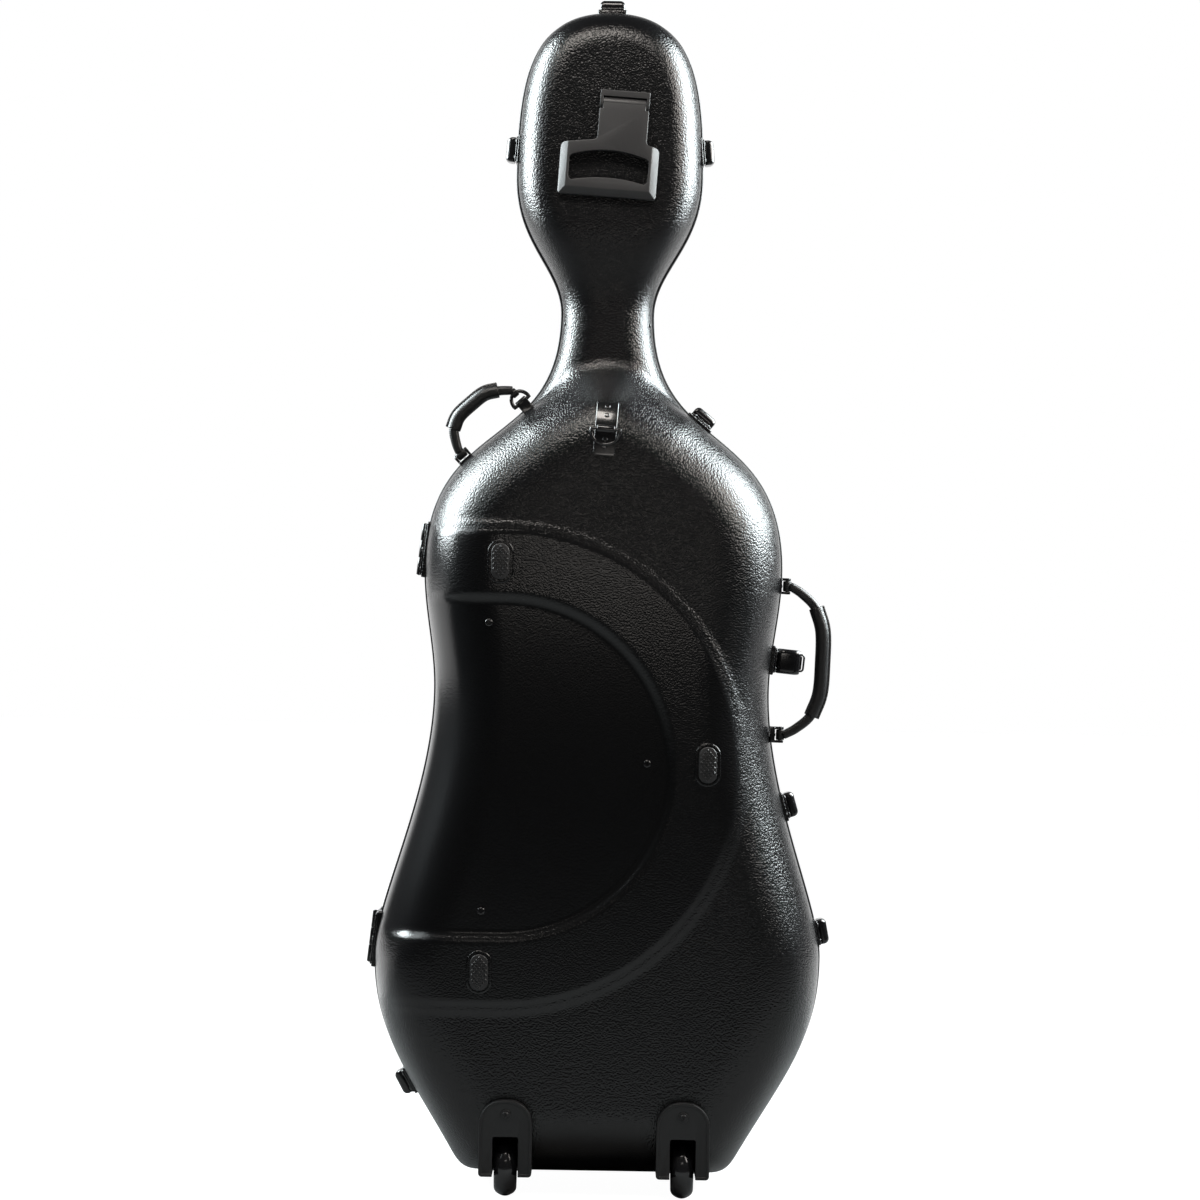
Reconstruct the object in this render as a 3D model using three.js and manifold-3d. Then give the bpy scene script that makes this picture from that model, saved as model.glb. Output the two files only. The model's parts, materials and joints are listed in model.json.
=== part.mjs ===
// A hard case for a full-size cello, standing upright on two wheels and two front feet.
// Millimetres, +Z up. The back of the case faces -Y, the lid faces +Y, and the seam between them
// lies in the plane y = 0 until the whole case is centred at the end.
import * as THREE from 'three'
import { mergeVertices } from 'three/addons/utils/BufferGeometryUtils.js'
import Module from 'manifold-3d'

const wasm = await Module()
wasm.setup()

// Driving dimensions of the outline, seen from the back
const GROUND_CLEARANCE = 16
const BOTTOM_WIDTH = 264
const CORNER_WIDTH = 336
const CORNER_RISE = 25
const LOWER_BOUT_WIDTH = 515
const LOWER_BOUT_RISE = 223
const WAIST_WIDTH = 386
const WAIST_RISE = 307
const UPPER_BOUT_WIDTH = 413
const UPPER_BOUT_RISE = 141
const NECK_WIDTH = 104
const NECK_RISE = 298
const HEAD_WIDTH = 213
const HEAD_RISE = 159
const CROWN_RISE = 190

// Depths of the two halves, from the seam to the outside of each
const BACK_BODY_DEPTH = 150
const BACK_NECK_DEPTH = 62
const BACK_HEAD_DEPTH = 85
const LID_BODY_DEPTH = 128
const LID_NECK_DEPTH = 54
const LID_HEAD_DEPTH = 72

// How the halves are rounded and where the deep body ends below the neck
const BODY_ROUNDING = 90
const NECK_ROUNDING = 45
const CREST_DROP = 79
const CREST_ARCH_RISE = 102

// Walls and clearances
const WALL = 3.5
const LINING = 3
const GAP = 0.3
const SEAM_GAP = 0.6
const RUNNING_GAP = 0.3
const OVERRUN = 20
const WELD_DISTANCE = 1e-4

// The edge profiles that close the seam
const RIM_HEIGHT = 9
const RIM_PROUD = 2.5
const TONGUE_HEIGHT = 4
const TONGUE_THICKNESS = 2.5

// Shares that shape the outline: handle lengths of each curve over its rise
const LOWER_SIDE_SPLAY_SHARE = 0.585
const cornerHandleShares = [0.61, 0.55]
const lowerBoutHandleShares = [0.406, 0.413]
const waistHandleShares = [0.195, 0.397]
const upperBoutHandleShares = [0.35, 0.35]
const neckHandleShares = [0.604, 0.564]
const headHandleShares = [0.34, 0.49]
const crownHandleShares = [0.63, 0.864]

// Where each curve is cut into facets, as shares of the curve
const cornerFacetShares = [0.5, 1]
const lowerBoutFacetShares = [0.28, 0.5, 0.75, 1]
const waistFacetShares = [0.3, 0.65, 1]
const upperBoutFacetShares = [0.5, 1]
const neckFacetShares = [0.17, 0.34, 0.5, 0.62, 0.71, 0.765, 0.793, 0.87, 1]
const headFacetShares = [0.27, 0.5, 0.75, 1]
const crownFacetShares = [0.36, 0.62, 0.82, 1]
// Rings from the edge of a half to its spine, as shares of the way in
const ringShares = [0, 0.004, 0.02, 0.06, 0.14, 0.3, 1]
const innerRingShares = [0, 0.05, 0.13, 0.3, 1]
const liningRingShares = [0, 0.08, 0.3, 1]
const SPINE_START_SHARE = 0.4
const SPINE_END_SHARE = 0.42
const ROUNDING_POWER = 2.5
const ARCH_POWER = 2.2
const FINE_STEPS = 24
const CURVE_STEPS = 3
const ROUND_SIDES = 8
const WIRE_SIDES = 6

// The raised crescent on the back, its three rest pads and the screws beside them
const CRESCENT_OFFSET = 111
const CRESCENT_DROP = 84.5
const CRESCENT_OUTER_RADIUS = 267
const CRESCENT_INNER_RADIUS = 197.5
const CRESCENT_SLOPE = 11
const CRESCENT_HEIGHT = 5
const CRESCENT_FADE = 45
const CRESCENT_SEGMENTS = 28
const PAD_WIDTH = 20.6
const PAD_HEIGHT = 41
const PAD_STAND = 4
const PAD_SEAT_MARGIN = 4.5
const PAD_POCKET_MARGIN = 1.7
const PAD_POCKET_DEPTH = 2
const PAD_SEAT_STAND = 1.5
const PAD_CHAMFER = 1
const padAngles = { upper: 91.3, side: 1.6, lower: -95.4 }
const SCREW_CIRCLE_RADIUS = 164
const SCREW_HEAD_RADIUS = 4.5
const SCREW_HEAD_STAND = 1.6
const SCREW_DOME_SHARE = 0.8
const SCREW_SINK = 4
const screwAngles = { upper: 96, side: 2.3, lower: -97.3 }

// Wheels and their housings
const WHEEL_SPACING = 200
const WHEEL_RADIUS = 32
const WHEEL_WIDTH = 26
const WHEEL_HUB_RADIUS = 11
const WHEEL_HUB_INSET = 2
const WHEEL_REACH = 128
const WHEEL_SIDE_GAP = 1.5
const WHEEL_SEGMENTS = 16
const AXLE_RADIUS = 4
const AXLE_SEAT = 8
const AXLE_SIDES = 10
const HOUSING_WIDTH = 60
const HOUSING_TOP = 112
const HOUSING_BOTTOM = 26
const HOUSING_FACE = 162
const HOUSING_ARCH_RADIUS = 27
const HOUSING_EDGE = 3
const HOUSING_SLOT_TOP = 71
const HOUSING_WALL = 4
const WHEEL_CLEARANCE = 4
const LINING_CLEARANCE = 1

// Front feet under the lid
const FOOT_SPACING = 190
const FOOT_RADIUS = 15
const FOOT_TOP_RADIUS = 18
const FOOT_REACH = 78
const FOOT_SEGMENTS = 14

// Latches, in a frame on the outline: x along the seam, y across it, z outward
const LATCH_WIDTH = 29
const BOSS_STAND = 3.5
const BOSS_MARGIN = 2.5
const BOSS_REACH = 33
const LATCH_PLATE = 2
const LATCH_PIVOT_BACK = 15
const LATCH_PIVOT_STAND = 10.5
const LATCH_HEEL_RADIUS = 4.4
const LATCH_NOSE_REACH = 24
const LATCH_TOP_STAND = 17
const LATCH_NOSE_TOP = 12.5
const LATCH_DOME_DROP = 6
const LATCH_SKIN = 2.2
const LATCH_PIN_RADIUS = 1.5
const LATCH_LUG_WIDTH = 12
const LATCH_LUG_RADIUS = 3.2
const LATCH_BASE_REACH = 30
const LATCH_BASE_FRONT = 6
const BAIL_RADIUS = 1.2
const BAIL_SPAN = 19
const BAIL_STAND = 9.8
const BAIL_REACH = 28
const KEEPER_PLATE = 1.5
const KEEPER_WIDTH = 15
const KEEPER_BASE_WIDTH = 24
const KEEPER_LIP = 1.5
const KEEPER_LIP_THICKNESS = 2
const KEEPER_FRONT = 9.7
const KEEPER_REACH = 30
const OPEN_LATCH_ANGLE = 90

// Hinges on the left edge
const HINGE_KNUCKLE_RADIUS = 3.5
const HINGE_PIN_RADIUS = 1.6
const HINGE_CLEARANCE = 0.5
const HINGE_LENGTH = 60
const HINGE_LEAF = 1.8
const HINGE_LEAF_REACH = 30
const HINGE_KNUCKLE_SHARE = 1 / 3
const HINGE_SEGMENTS = 8
// Rounds in which the line that touches both bouts is found
const TOUCH_ROUNDS = 4

// Side and shoulder handles, on a line between their two brackets
const HANDLE_PLANE = 45
const sideHandleShares = [0.85, 0.89]
const shoulderHandleShares = [0.42, 0.625]
const gripPointShares = [
  [-0.9, 0.42], [-0.72, 0.78], [-0.42, 0.97], [0, 1], [0.42, 0.97], [0.72, 0.78], [0.9, 0.42],
]
const HANDLE_BAR_RADIUS = 2.4
const HANDLE_BAR_STAND = 8
const HANDLE_EYE_RADIUS = 5
const HANDLE_EYE_LENGTH = 12
const RING_EYE_LENGTH = 8
const HANDLE_EAR = 3
const HANDLE_EAR_MARGIN = 1.5
const HANDLE_EYE_CLEARANCE = 1
const HANDLE_BRACKET_WIDTH = 16
const HANDLE_STRAP_THICKNESS = 5
const HANDLE_STRAP_WIDTH = 9
const HANDLE_GRIP_RADIUS = 8.5
const HANDLE_GRIP_SIDES = 8
const HANDLE_STEPS = 8
const STRAP_STEPS = 12
const SIDE_HANDLE_RISE = 44
const SHOULDER_HANDLE_RISE = 36
const RING_WIRE_RADIUS = 2.2
const SHOULDER_RING_DEPTH = 18
const SHOULDER_RING_WIDTH = 26
const RING_BARREL_LENGTH = 14
const RING_BARREL_WALL = 2
const RING_PLAY = 1.2
const BOW_PULL_SHARE = 4 / 3

// Strap plate with its ring, high on the back
const STRAP_PLATE_WIDTH = 24.6
const STRAP_PLATE_LENGTH = 60
const STRAP_PLATE_THICKNESS = 3
const STRAP_PLATE_LEAN = 4
const STRAP_PLATE_DROP_SHARE = 0.6
const STRAP_TUBE_RADIUS = 4.5
const STRAP_TUBE_LENGTH = 20
const D_RING_WIDTH = 37
const D_RING_DROP = 21
const D_RING_WIRE = 1.8

// Tow handle on the back of the head
const TOW_OFFSET = 15.7
const TOW_LEVEL_RISE = 76
const TOW_LEAN = 3.6
const TOW_THICKNESS = 13
const TOW_LIFT = 1.5
const TOW_STEM_WIDTH = 56.6
const TOW_STEM_LENGTH = 44.5
const TOW_FRAME_WIDTH = 113
const TOW_FRAME_HEIGHT = 63
const TOW_FRAME_SHIFT = 12.9
const TOW_WINDOW_WIDTH = 91
const TOW_WINDOW_HEIGHT = 32
const TOW_WINDOW_ARCH = 5
const TOW_TOP_BAR = 11
const TOW_CORNER = 6
const TOW_BEVEL = 2
const TOW_PIN_RADIUS = 2.5
const TOW_EAR = 9
const TOW_BRACKET_HEIGHT = 14
const TOW_BARREL_RADIUS = 6.5

// Neck cradle inside the back
const CRADLE_LENGTH = 70
const CRADLE_TOP = 12
const CRADLE_SADDLE_RADIUS = 26

// Levels above the ground, from the rises
const FOOT_LEVEL = GROUND_CLEARANCE
const CORNER_LEVEL = FOOT_LEVEL + CORNER_RISE
const LOWER_BOUT_LEVEL = CORNER_LEVEL + LOWER_BOUT_RISE
const WAIST_LEVEL = LOWER_BOUT_LEVEL + WAIST_RISE
const UPPER_BOUT_LEVEL = WAIST_LEVEL + UPPER_BOUT_RISE
const NECK_LEVEL = UPPER_BOUT_LEVEL + NECK_RISE
const HEAD_LEVEL = NECK_LEVEL + HEAD_RISE
const CROWN_LEVEL = HEAD_LEVEL + CROWN_RISE
const CREST_LEVEL = NECK_LEVEL - CREST_DROP
const SPINE_START = FOOT_LEVEL + SPINE_START_SHARE * (LOWER_BOUT_LEVEL - FOOT_LEVEL)
const SPINE_END = CROWN_LEVEL - SPINE_END_SHARE * CROWN_RISE
const EDGE = RIM_HEIGHT + SEAM_GAP / 2 + GAP
const BACK = {
  sign: -1, body: BACK_BODY_DEPTH, neck: BACK_NECK_DEPTH, head: BACK_HEAD_DEPTH,
}
const LID = {
  sign: 1, body: LID_BODY_DEPTH, neck: LID_NECK_DEPTH, head: LID_HEAD_DEPTH,
}

// Materials, by what the pieces are made of
const looks = {
  shell: [0x1b1c1f, 0.45, 0], rim: [0x0e0f10, 0.5, 0], lining: [0x2b2c31, 0.95, 0],
  rubber: [0x151515, 0.8, 0], moulded: [0x17181a, 0.5, 0], metal: [0x0c0c0d, 0.22, 0.6],
  leather: [0x121212, 0.6, 0], tyre: [0x101011, 0.35, 0],
}
const materials = Object.fromEntries(Object.entries(looks).map(([name, [color, roughness, metalness]]) => {
  const material = new THREE.MeshStandardMaterial({ color, roughness, metalness })
  material.name = name
  return [name, material]
}))

// Helpers that turn geometries into solids and back
const rad = THREE.MathUtils.degToRad

function solid(geometry) {
  const bare = geometry.clone()
  for (const name of Object.keys(bare.attributes)) {
    if (name !== 'position') bare.deleteAttribute(name)
  }
  const merged = mergeVertices(bare.index ? bare.toNonIndexed() : bare, WELD_DISTANCE)
  const positions = merged.attributes.position.array
  const index = []
  for (let i = 0; i < merged.index.count; i += 3) {
    const [a, b, c] = [0, 1, 2].map((n) => merged.index.array[i + n])
    if (a !== b && b !== c && c !== a) index.push(a, b, c)
  }
  const make = (triangles) => new wasm.Manifold(new wasm.Mesh({
    numProp: 3, vertProperties: new Float32Array(positions), triVerts: new Uint32Array(triangles),
  }))
  const body = make(index)
  if (body.volume() > 0) return body
  return make(index.map((_, i) => index[i - (i % 3) + (2 - (i % 3))]))
}

function geometryOf(body) {
  const mesh = body.getMesh()
  const geometry = new THREE.BufferGeometry()
  geometry.setAttribute('position', new THREE.BufferAttribute(new Float32Array(mesh.vertProperties), 3))
  geometry.setIndex([...mesh.triVerts])
  geometry.computeVertexNormals()
  return geometry
}

function named(name, material, body) {
  const geometry = body instanceof THREE.BufferGeometry ? body : geometryOf(body)
  const mesh = new THREE.Mesh(geometry, materials[material])
  mesh.name = name
  return mesh
}

// A box between two corners
function block(x0, x1, y0, y1, z0, z1) {
  const box = new THREE.BoxGeometry(x1 - x0, y1 - y0, z1 - z0)
  return solid(box.translate((x0 + x1) / 2, (y0 + y1) / 2, (z0 + z1) / 2))
}

// A rod along x, centred, with its own number of sides
function rod(radius, length, sides, x = 0, y = 0, z = 0) {
  const cylinder = new THREE.CylinderGeometry(radius, radius, length, sides)
  return solid(cylinder.rotateZ(Math.PI / 2).translate(x, y, z))
}

// A flat shape in x and z, made thick along y from y0 to y1
function slabXZ(shape, y0, y1, bevel = 0, curveSegments = CURVE_STEPS) {
  const extrude = new THREE.ExtrudeGeometry(shape, {
    depth: y1 - y0 - 2 * bevel, bevelEnabled: bevel > 0, bevelThickness: bevel, bevelSize: bevel,
    bevelOffset: -bevel, bevelSegments: 1, curveSegments,
  })
  extrude.rotateX(Math.PI / 2)
  return solid(extrude.translate(0, y1 - bevel, 0))
}

// A side profile in y and z, made wide along x and centred
function slabYZ(points, width) {
  const shape = new THREE.Shape(points.map(([y, z]) => new THREE.Vector2(y, z)))
  const extrude = new THREE.ExtrudeGeometry(shape, { depth: width, bevelEnabled: false })
  const turn = new THREE.Matrix4().makeBasis(
    new THREE.Vector3(0, 1, 0), new THREE.Vector3(0, 0, 1), new THREE.Vector3(1, 0, 0))
  return solid(extrude.applyMatrix4(turn).translate(-width / 2, 0, 0))
}

// A rectangle with round corners, centred on a point
function roundedRectangle(width, height, radius, x = 0, y = 0) {
  const [w, h] = [width / 2, height / 2]
  const shape = new THREE.Shape()
  shape.moveTo(x - w + radius, y - h)
  shape.lineTo(x + w - radius, y - h)
  shape.absarc(x + w - radius, y - h + radius, radius, -Math.PI / 2, 0)
  shape.absarc(x + w - radius, y + h - radius, radius, 0, Math.PI / 2)
  shape.absarc(x - w + radius, y + h - radius, radius, Math.PI / 2, Math.PI)
  shape.absarc(x - w + radius, y - h + radius, radius, Math.PI, 1.5 * Math.PI)
  return shape
}

// A section swept along a plane curve, closed at both ends
function sweep(curve, sectionPoints, steps) {
  const section = new THREE.Shape(sectionPoints.map(([x, y]) => new THREE.Vector2(x, y)))
  return solid(new THREE.ExtrudeGeometry(section, { steps, extrudePath: curve, bevelEnabled: false }))
}

function circlePoints(radius, sides) {
  return Array.from({ length: sides }, (_, i) => {
    const angle = (2 * Math.PI * (i + 0.5)) / sides
    return [radius * Math.cos(angle), radius * Math.sin(angle)]
  })
}

function rectanglePoints(width, height) {
  return [[-1, -1], [1, -1], [1, 1], [-1, 1]].map(([a, b]) => [(a * width) / 2, (b * height) / 2])
}

// The outline's right side as curves from the bottom's middle up to the crown
function sideCurves() {
  const point = (width, level) => new THREE.Vector2(width / 2, level)
  const up = (at, length) => at.clone().add(new THREE.Vector2(0, length))
  const bottom = point(BOTTOM_WIDTH, FOOT_LEVEL)
  const corner = point(CORNER_WIDTH, CORNER_LEVEL)
  const lower = point(LOWER_BOUT_WIDTH, LOWER_BOUT_LEVEL)
  const waist = point(WAIST_WIDTH, WAIST_LEVEL)
  const upper = point(UPPER_BOUT_WIDTH, UPPER_BOUT_LEVEL)
  const neck = point(NECK_WIDTH, NECK_LEVEL)
  const head = point(HEAD_WIDTH, HEAD_LEVEL)
  const crown = point(0, CROWN_LEVEL)
  const splay = (length) => new THREE.Vector2(LOWER_SIDE_SPLAY_SHARE * length, length)
  const between = (from, to, [start, end], rise) =>
    new THREE.CubicBezierCurve(from, up(from, start * rise), up(to, -end * rise), to)
  const cornerRun = (CORNER_WIDTH - BOTTOM_WIDTH) / 2
  return [
    [new THREE.LineCurve(point(0, FOOT_LEVEL), bottom), [1]],
    [new THREE.CubicBezierCurve(
      bottom, bottom.clone().add(new THREE.Vector2(cornerHandleShares[0] * cornerRun, 0)),
      corner.clone().sub(splay(cornerHandleShares[1] * CORNER_RISE)), corner), cornerFacetShares],
    [new THREE.CubicBezierCurve(
      corner, corner.clone().add(splay(lowerBoutHandleShares[0] * LOWER_BOUT_RISE)),
      up(lower, -lowerBoutHandleShares[1] * LOWER_BOUT_RISE), lower), lowerBoutFacetShares],
    [between(lower, waist, waistHandleShares, WAIST_RISE), waistFacetShares],
    [between(waist, upper, upperBoutHandleShares, UPPER_BOUT_RISE), upperBoutFacetShares],
    [between(upper, neck, neckHandleShares, NECK_RISE), neckFacetShares],
    [between(neck, head, headHandleShares, HEAD_RISE), headFacetShares],
    [new THREE.CubicBezierCurve(
      head, up(head, crownHandleShares[0] * CROWN_RISE),
      crown.clone().add(new THREE.Vector2((crownHandleShares[1] * HEAD_WIDTH) / 2, 0)), crown),
    crownFacetShares],
  ]
}

// Points with outward normals up the right side, either at the facets or at even fine steps
function sidePoints(fine) {
  const even = Array.from({ length: FINE_STEPS }, (_, i) => (i + 1) / FINE_STEPS)
  const points = [{ x: 0, z: FOOT_LEVEL, nx: 0, nz: -1 }]
  for (const [curve, shares] of sideCurves()) {
    for (const share of fine ? even : shares) {
      const at = curve.getPoint(share)
      const along = curve.getTangent(share)
      points.push({ x: at.x, z: at.y, nx: along.y, nz: -along.x })
    }
  }
  const crown = points[points.length - 1]
  crown.x = 0
  crown.nx = 0
  return points
}

const facetSide = sidePoints(false)
const fineSide = sidePoints(true)

function mirrored(side) {
  const left = side.slice(1, -1).reverse().map(({ x, z, nx, nz }) => ({ x: -x, z, nx: -nx, nz }))
  return [...side, ...left]
}

const facetLoop = mirrored(facetSide)
const fineLoop = mirrored(fineSide)

// The point of a right side at a level, with the outward normal of the stretch it lies on
function sideAt(level, side = facetSide) {
  const start = side.findIndex((p) => p.z >= CORNER_LEVEL)
  const next = side.findIndex((p, i) => i > start && p.z >= level)
  const [a, b] = [side[next - 1], side[next]]
  const share = (level - a.z) / (b.z - a.z)
  const normal = new THREE.Vector2(b.z - a.z, a.x - b.x).normalize()
  return { x: a.x + share * (b.x - a.x), z: level, nx: normal.x, nz: normal.y }
}

// The deep body's own outline, which closes in an arch below the neck
function bodyLoop() {
  const start = CREST_LEVEL - CREST_ARCH_RISE
  const base = sideAt(start, fineSide)
  const lower = fineSide.filter((p) => p.z < start)
  const arch = []
  for (let i = 0; i <= FINE_STEPS; i += 1) {
    const angle = (Math.PI / 2) * (i / FINE_STEPS)
    const z = start + CREST_ARCH_RISE * Math.sin(angle) ** (2 / ARCH_POWER)
    const reach = i === FINE_STEPS ? 0 : base.x * Math.cos(angle) ** (2 / ARCH_POWER)
    arch.push({ x: Math.min(reach, sideAt(z, fineSide).x), z })
  }
  return mirrored([...lower, ...arch])
}

const deepLoop = bodyLoop()

// Distance from a point to a closed loop, counted positive inside it
function depthInside(loop, x, z) {
  let nearest = Infinity
  let inside = false
  for (let i = 0; i < loop.length; i += 1) {
    const a = loop[i]
    const b = loop[(i + 1) % loop.length]
    const [dx, dz] = [b.x - a.x, b.z - a.z]
    const along = THREE.MathUtils.clamp(((x - a.x) * dx + (z - a.z) * dz) / (dx * dx + dz * dz || 1), 0, 1)
    nearest = Math.min(nearest, Math.hypot(x - a.x - along * dx, z - a.z - along * dz))
    if (a.z > z !== b.z > z && x < a.x + ((z - a.z) / dz) * dx) inside = !inside
  }
  return inside ? nearest : -nearest
}

// How far a rounded edge has risen, from nothing at the edge to its full depth
function rounded(distance, rounding, depth) {
  const share = THREE.MathUtils.clamp(distance / rounding, 0, 1)
  return depth * (1 - (1 - share) ** ROUNDING_POWER) ** (1 / ROUNDING_POWER)
}

// Depth of a half at a point, with its surface moved in by an inset
function depthAt(half, x, z, inset) {
  const slim = THREE.MathUtils.lerp(
    half.neck, half.head, THREE.MathUtils.smoothstep(z, NECK_LEVEL, (NECK_LEVEL + 2 * HEAD_LEVEL) / 3))
  const slimRise = rounded(
    depthInside(fineLoop, x, z) - inset, NECK_ROUNDING - inset, slim - EDGE - inset)
  const deepRise = rounded(
    depthInside(deepLoop, x, z) - inset, BODY_ROUNDING - inset, half.body - EDGE - inset)
  return EDGE + Math.max(slimRise, deepRise)
}

// The outline moved in by an inset and then a share of the way to the spine
function plan(p, inset, share) {
  const edge = new THREE.Vector2(p.x - inset * p.nx, p.z - inset * p.nz)
  return edge.lerp(new THREE.Vector2(0, THREE.MathUtils.clamp(p.z, SPINE_START, SPINE_END)), share)
}

// One ring of a half's surface; each point also carries its match on the outside, so that skins
// at different insets are cut into triangles along the same lines
function ring(half, share, inset, depth) {
  const place = (at, lift) => new THREE.Vector3(
    at.x, half.sign * (share === 0 ? EDGE : lift(at.x, at.y)), at.y)
  return facetLoop.map((p) => Object.assign(place(plan(p, inset, share), depth), {
    match: place(plan(p, 0, share), (x, z) => depthAt(half, x, z, 0)),
  }))
}

// A closed solid from rings that start and end on the spine
function stack(rings) {
  const count = rings[0].length
  const positions = []
  for (let r = 0; r + 1 < rings.length; r += 1) {
    for (let i = 0; i < count; i += 1) {
      const next = (i + 1) % count
      const corners = [rings[r][i], rings[r][next], rings[r + 1][next], rings[r + 1][i]]
      const [a, b, c, d] = corners.map((p) => p.match ?? p)
      const straight = a.distanceTo(c) < b.distanceTo(d)
      const order = straight ? [0, 1, 2, 0, 2, 3] : [0, 1, 3, 1, 2, 3]
      for (const n of order) positions.push(...corners[n].toArray())
    }
  }
  const geometry = new THREE.BufferGeometry()
  geometry.setAttribute('position', new THREE.Float32BufferAttribute(positions, 3))
  return solid(geometry)
}

function surface(half, inset, shares, depth = (x, z) => depthAt(half, x, z, inset)) {
  return shares.map((share) => ring(half, share, inset, depth))
}

// A bowl between two insets, open at the seam
function bowl(half, outerInset, innerInset, outerShares, innerShares) {
  const outer = surface(half, outerInset, outerShares)
  const inner = surface(half, innerInset, innerShares)
  return stack([...outer.reverse(), ...inner])
}

// The full space inside a half's surface at an inset, closed flat at a distance from the seam
function filled(half, inset, capAt, shares = ringShares) {
  const outer = surface(half, inset, shares)
  const cap = [0, 1].map((share) => ring(half, share, inset, () => 0).map(
    (p) => new THREE.Vector3(p.x, half.sign * capAt, p.z)))
  return stack([...outer.reverse(), ...cap])
}

// A band along the outline with a cross-section of offsets outward and places across the seam
function outlineBand(profile) {
  const rings = profile.map(([outward, y]) => facetLoop.map(
    (p) => new THREE.Vector3(p.x + outward * p.nx, y, p.z + outward * p.nz)))
  return stack([...rings, rings[0]])
}

// The outside of the closed case, moved out by the gap that pieces on it keep
function closedCase(gap) {
  const reach = RIM_PROUD + gap
  const band = RIM_HEIGHT + SEAM_GAP / 2 + gap
  const flat = (y) => [0, 1].map((share) => facetLoop.map((p) => {
    const at = plan(p, -reach, share)
    return new THREE.Vector3(at.x, y, at.y)
  }))
  const seam = stack([...flat(-band).reverse(), ...flat(band)])
  return seam.add(filled(BACK, -gap, -gap)).add(filled(LID, -gap, -gap))
}

const caseSpace = closedCase(GAP)
const caseSpaceGeometry = geometryOf(caseSpace)

// A frame on the outline: x runs along the seam, y across it and z outward
function frameAt(point) {
  const group = new THREE.Group()
  group.position.set(point.x, 0, point.z)
  group.rotation.y = Math.atan2(point.nx, point.nz)
  group.updateMatrixWorld(true)
  return group
}

// Cuts the closed case out of a piece that is drawn in a group's own frame
function seated(body, group) {
  group.updateMatrixWorld(true)
  const inverse = group.matrixWorld.clone().invert()
  return body.subtract(solid(caseSpaceGeometry.clone().applyMatrix4(inverse)))
}

function inWorld(body, group) {
  group.updateMatrixWorld(true)
  return solid(geometryOf(body).applyMatrix4(group.matrixWorld))
}

const model = new THREE.Group()

// Latches: name, side and level, as a share of the way between two named levels
const latchPlaceShares = [
  ['head_left', -1, HEAD_LEVEL, CROWN_LEVEL, 0.16],
  ['head_right', 1, HEAD_LEVEL, CROWN_LEVEL, 0.16],
  ['shoulder', 1, UPPER_BOUT_LEVEL, NECK_LEVEL, 0.575],
  ['side', 1, WAIST_LEVEL, UPPER_BOUT_LEVEL, 0.28],
  ['waist', 1, LOWER_BOUT_LEVEL, WAIST_LEVEL, 0.572],
  ['lower', 1, LOWER_BOUT_LEVEL, WAIST_LEVEL, 0.095],
  ['base_left', -1, CORNER_LEVEL, LOWER_BOUT_LEVEL, 0.34],
]

function latchFrames() {
  const frames = [['top', frameAt(facetSide[facetSide.length - 1])]]
  for (const [name, side, low, high, share] of latchPlaceShares) {
    const at = sideAt(THREE.MathUtils.lerp(low, high, share))
    frames.push([name, frameAt({ ...at, x: side * at.x, nx: side * at.nx })])
  }
  return frames
}

const latches = latchFrames()

// A flat-faced boss on a wall, in a frame on the outline
function boss(half, width, reach, stand) {
  const y0 = EDGE
  const body = block(-width / 2, width / 2, y0, reach, -WALL / 2, stand)
  const geometry = geometryOf(body)
  if (half.sign < 0) geometry.rotateZ(Math.PI)
  return solid(geometry)
}

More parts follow.
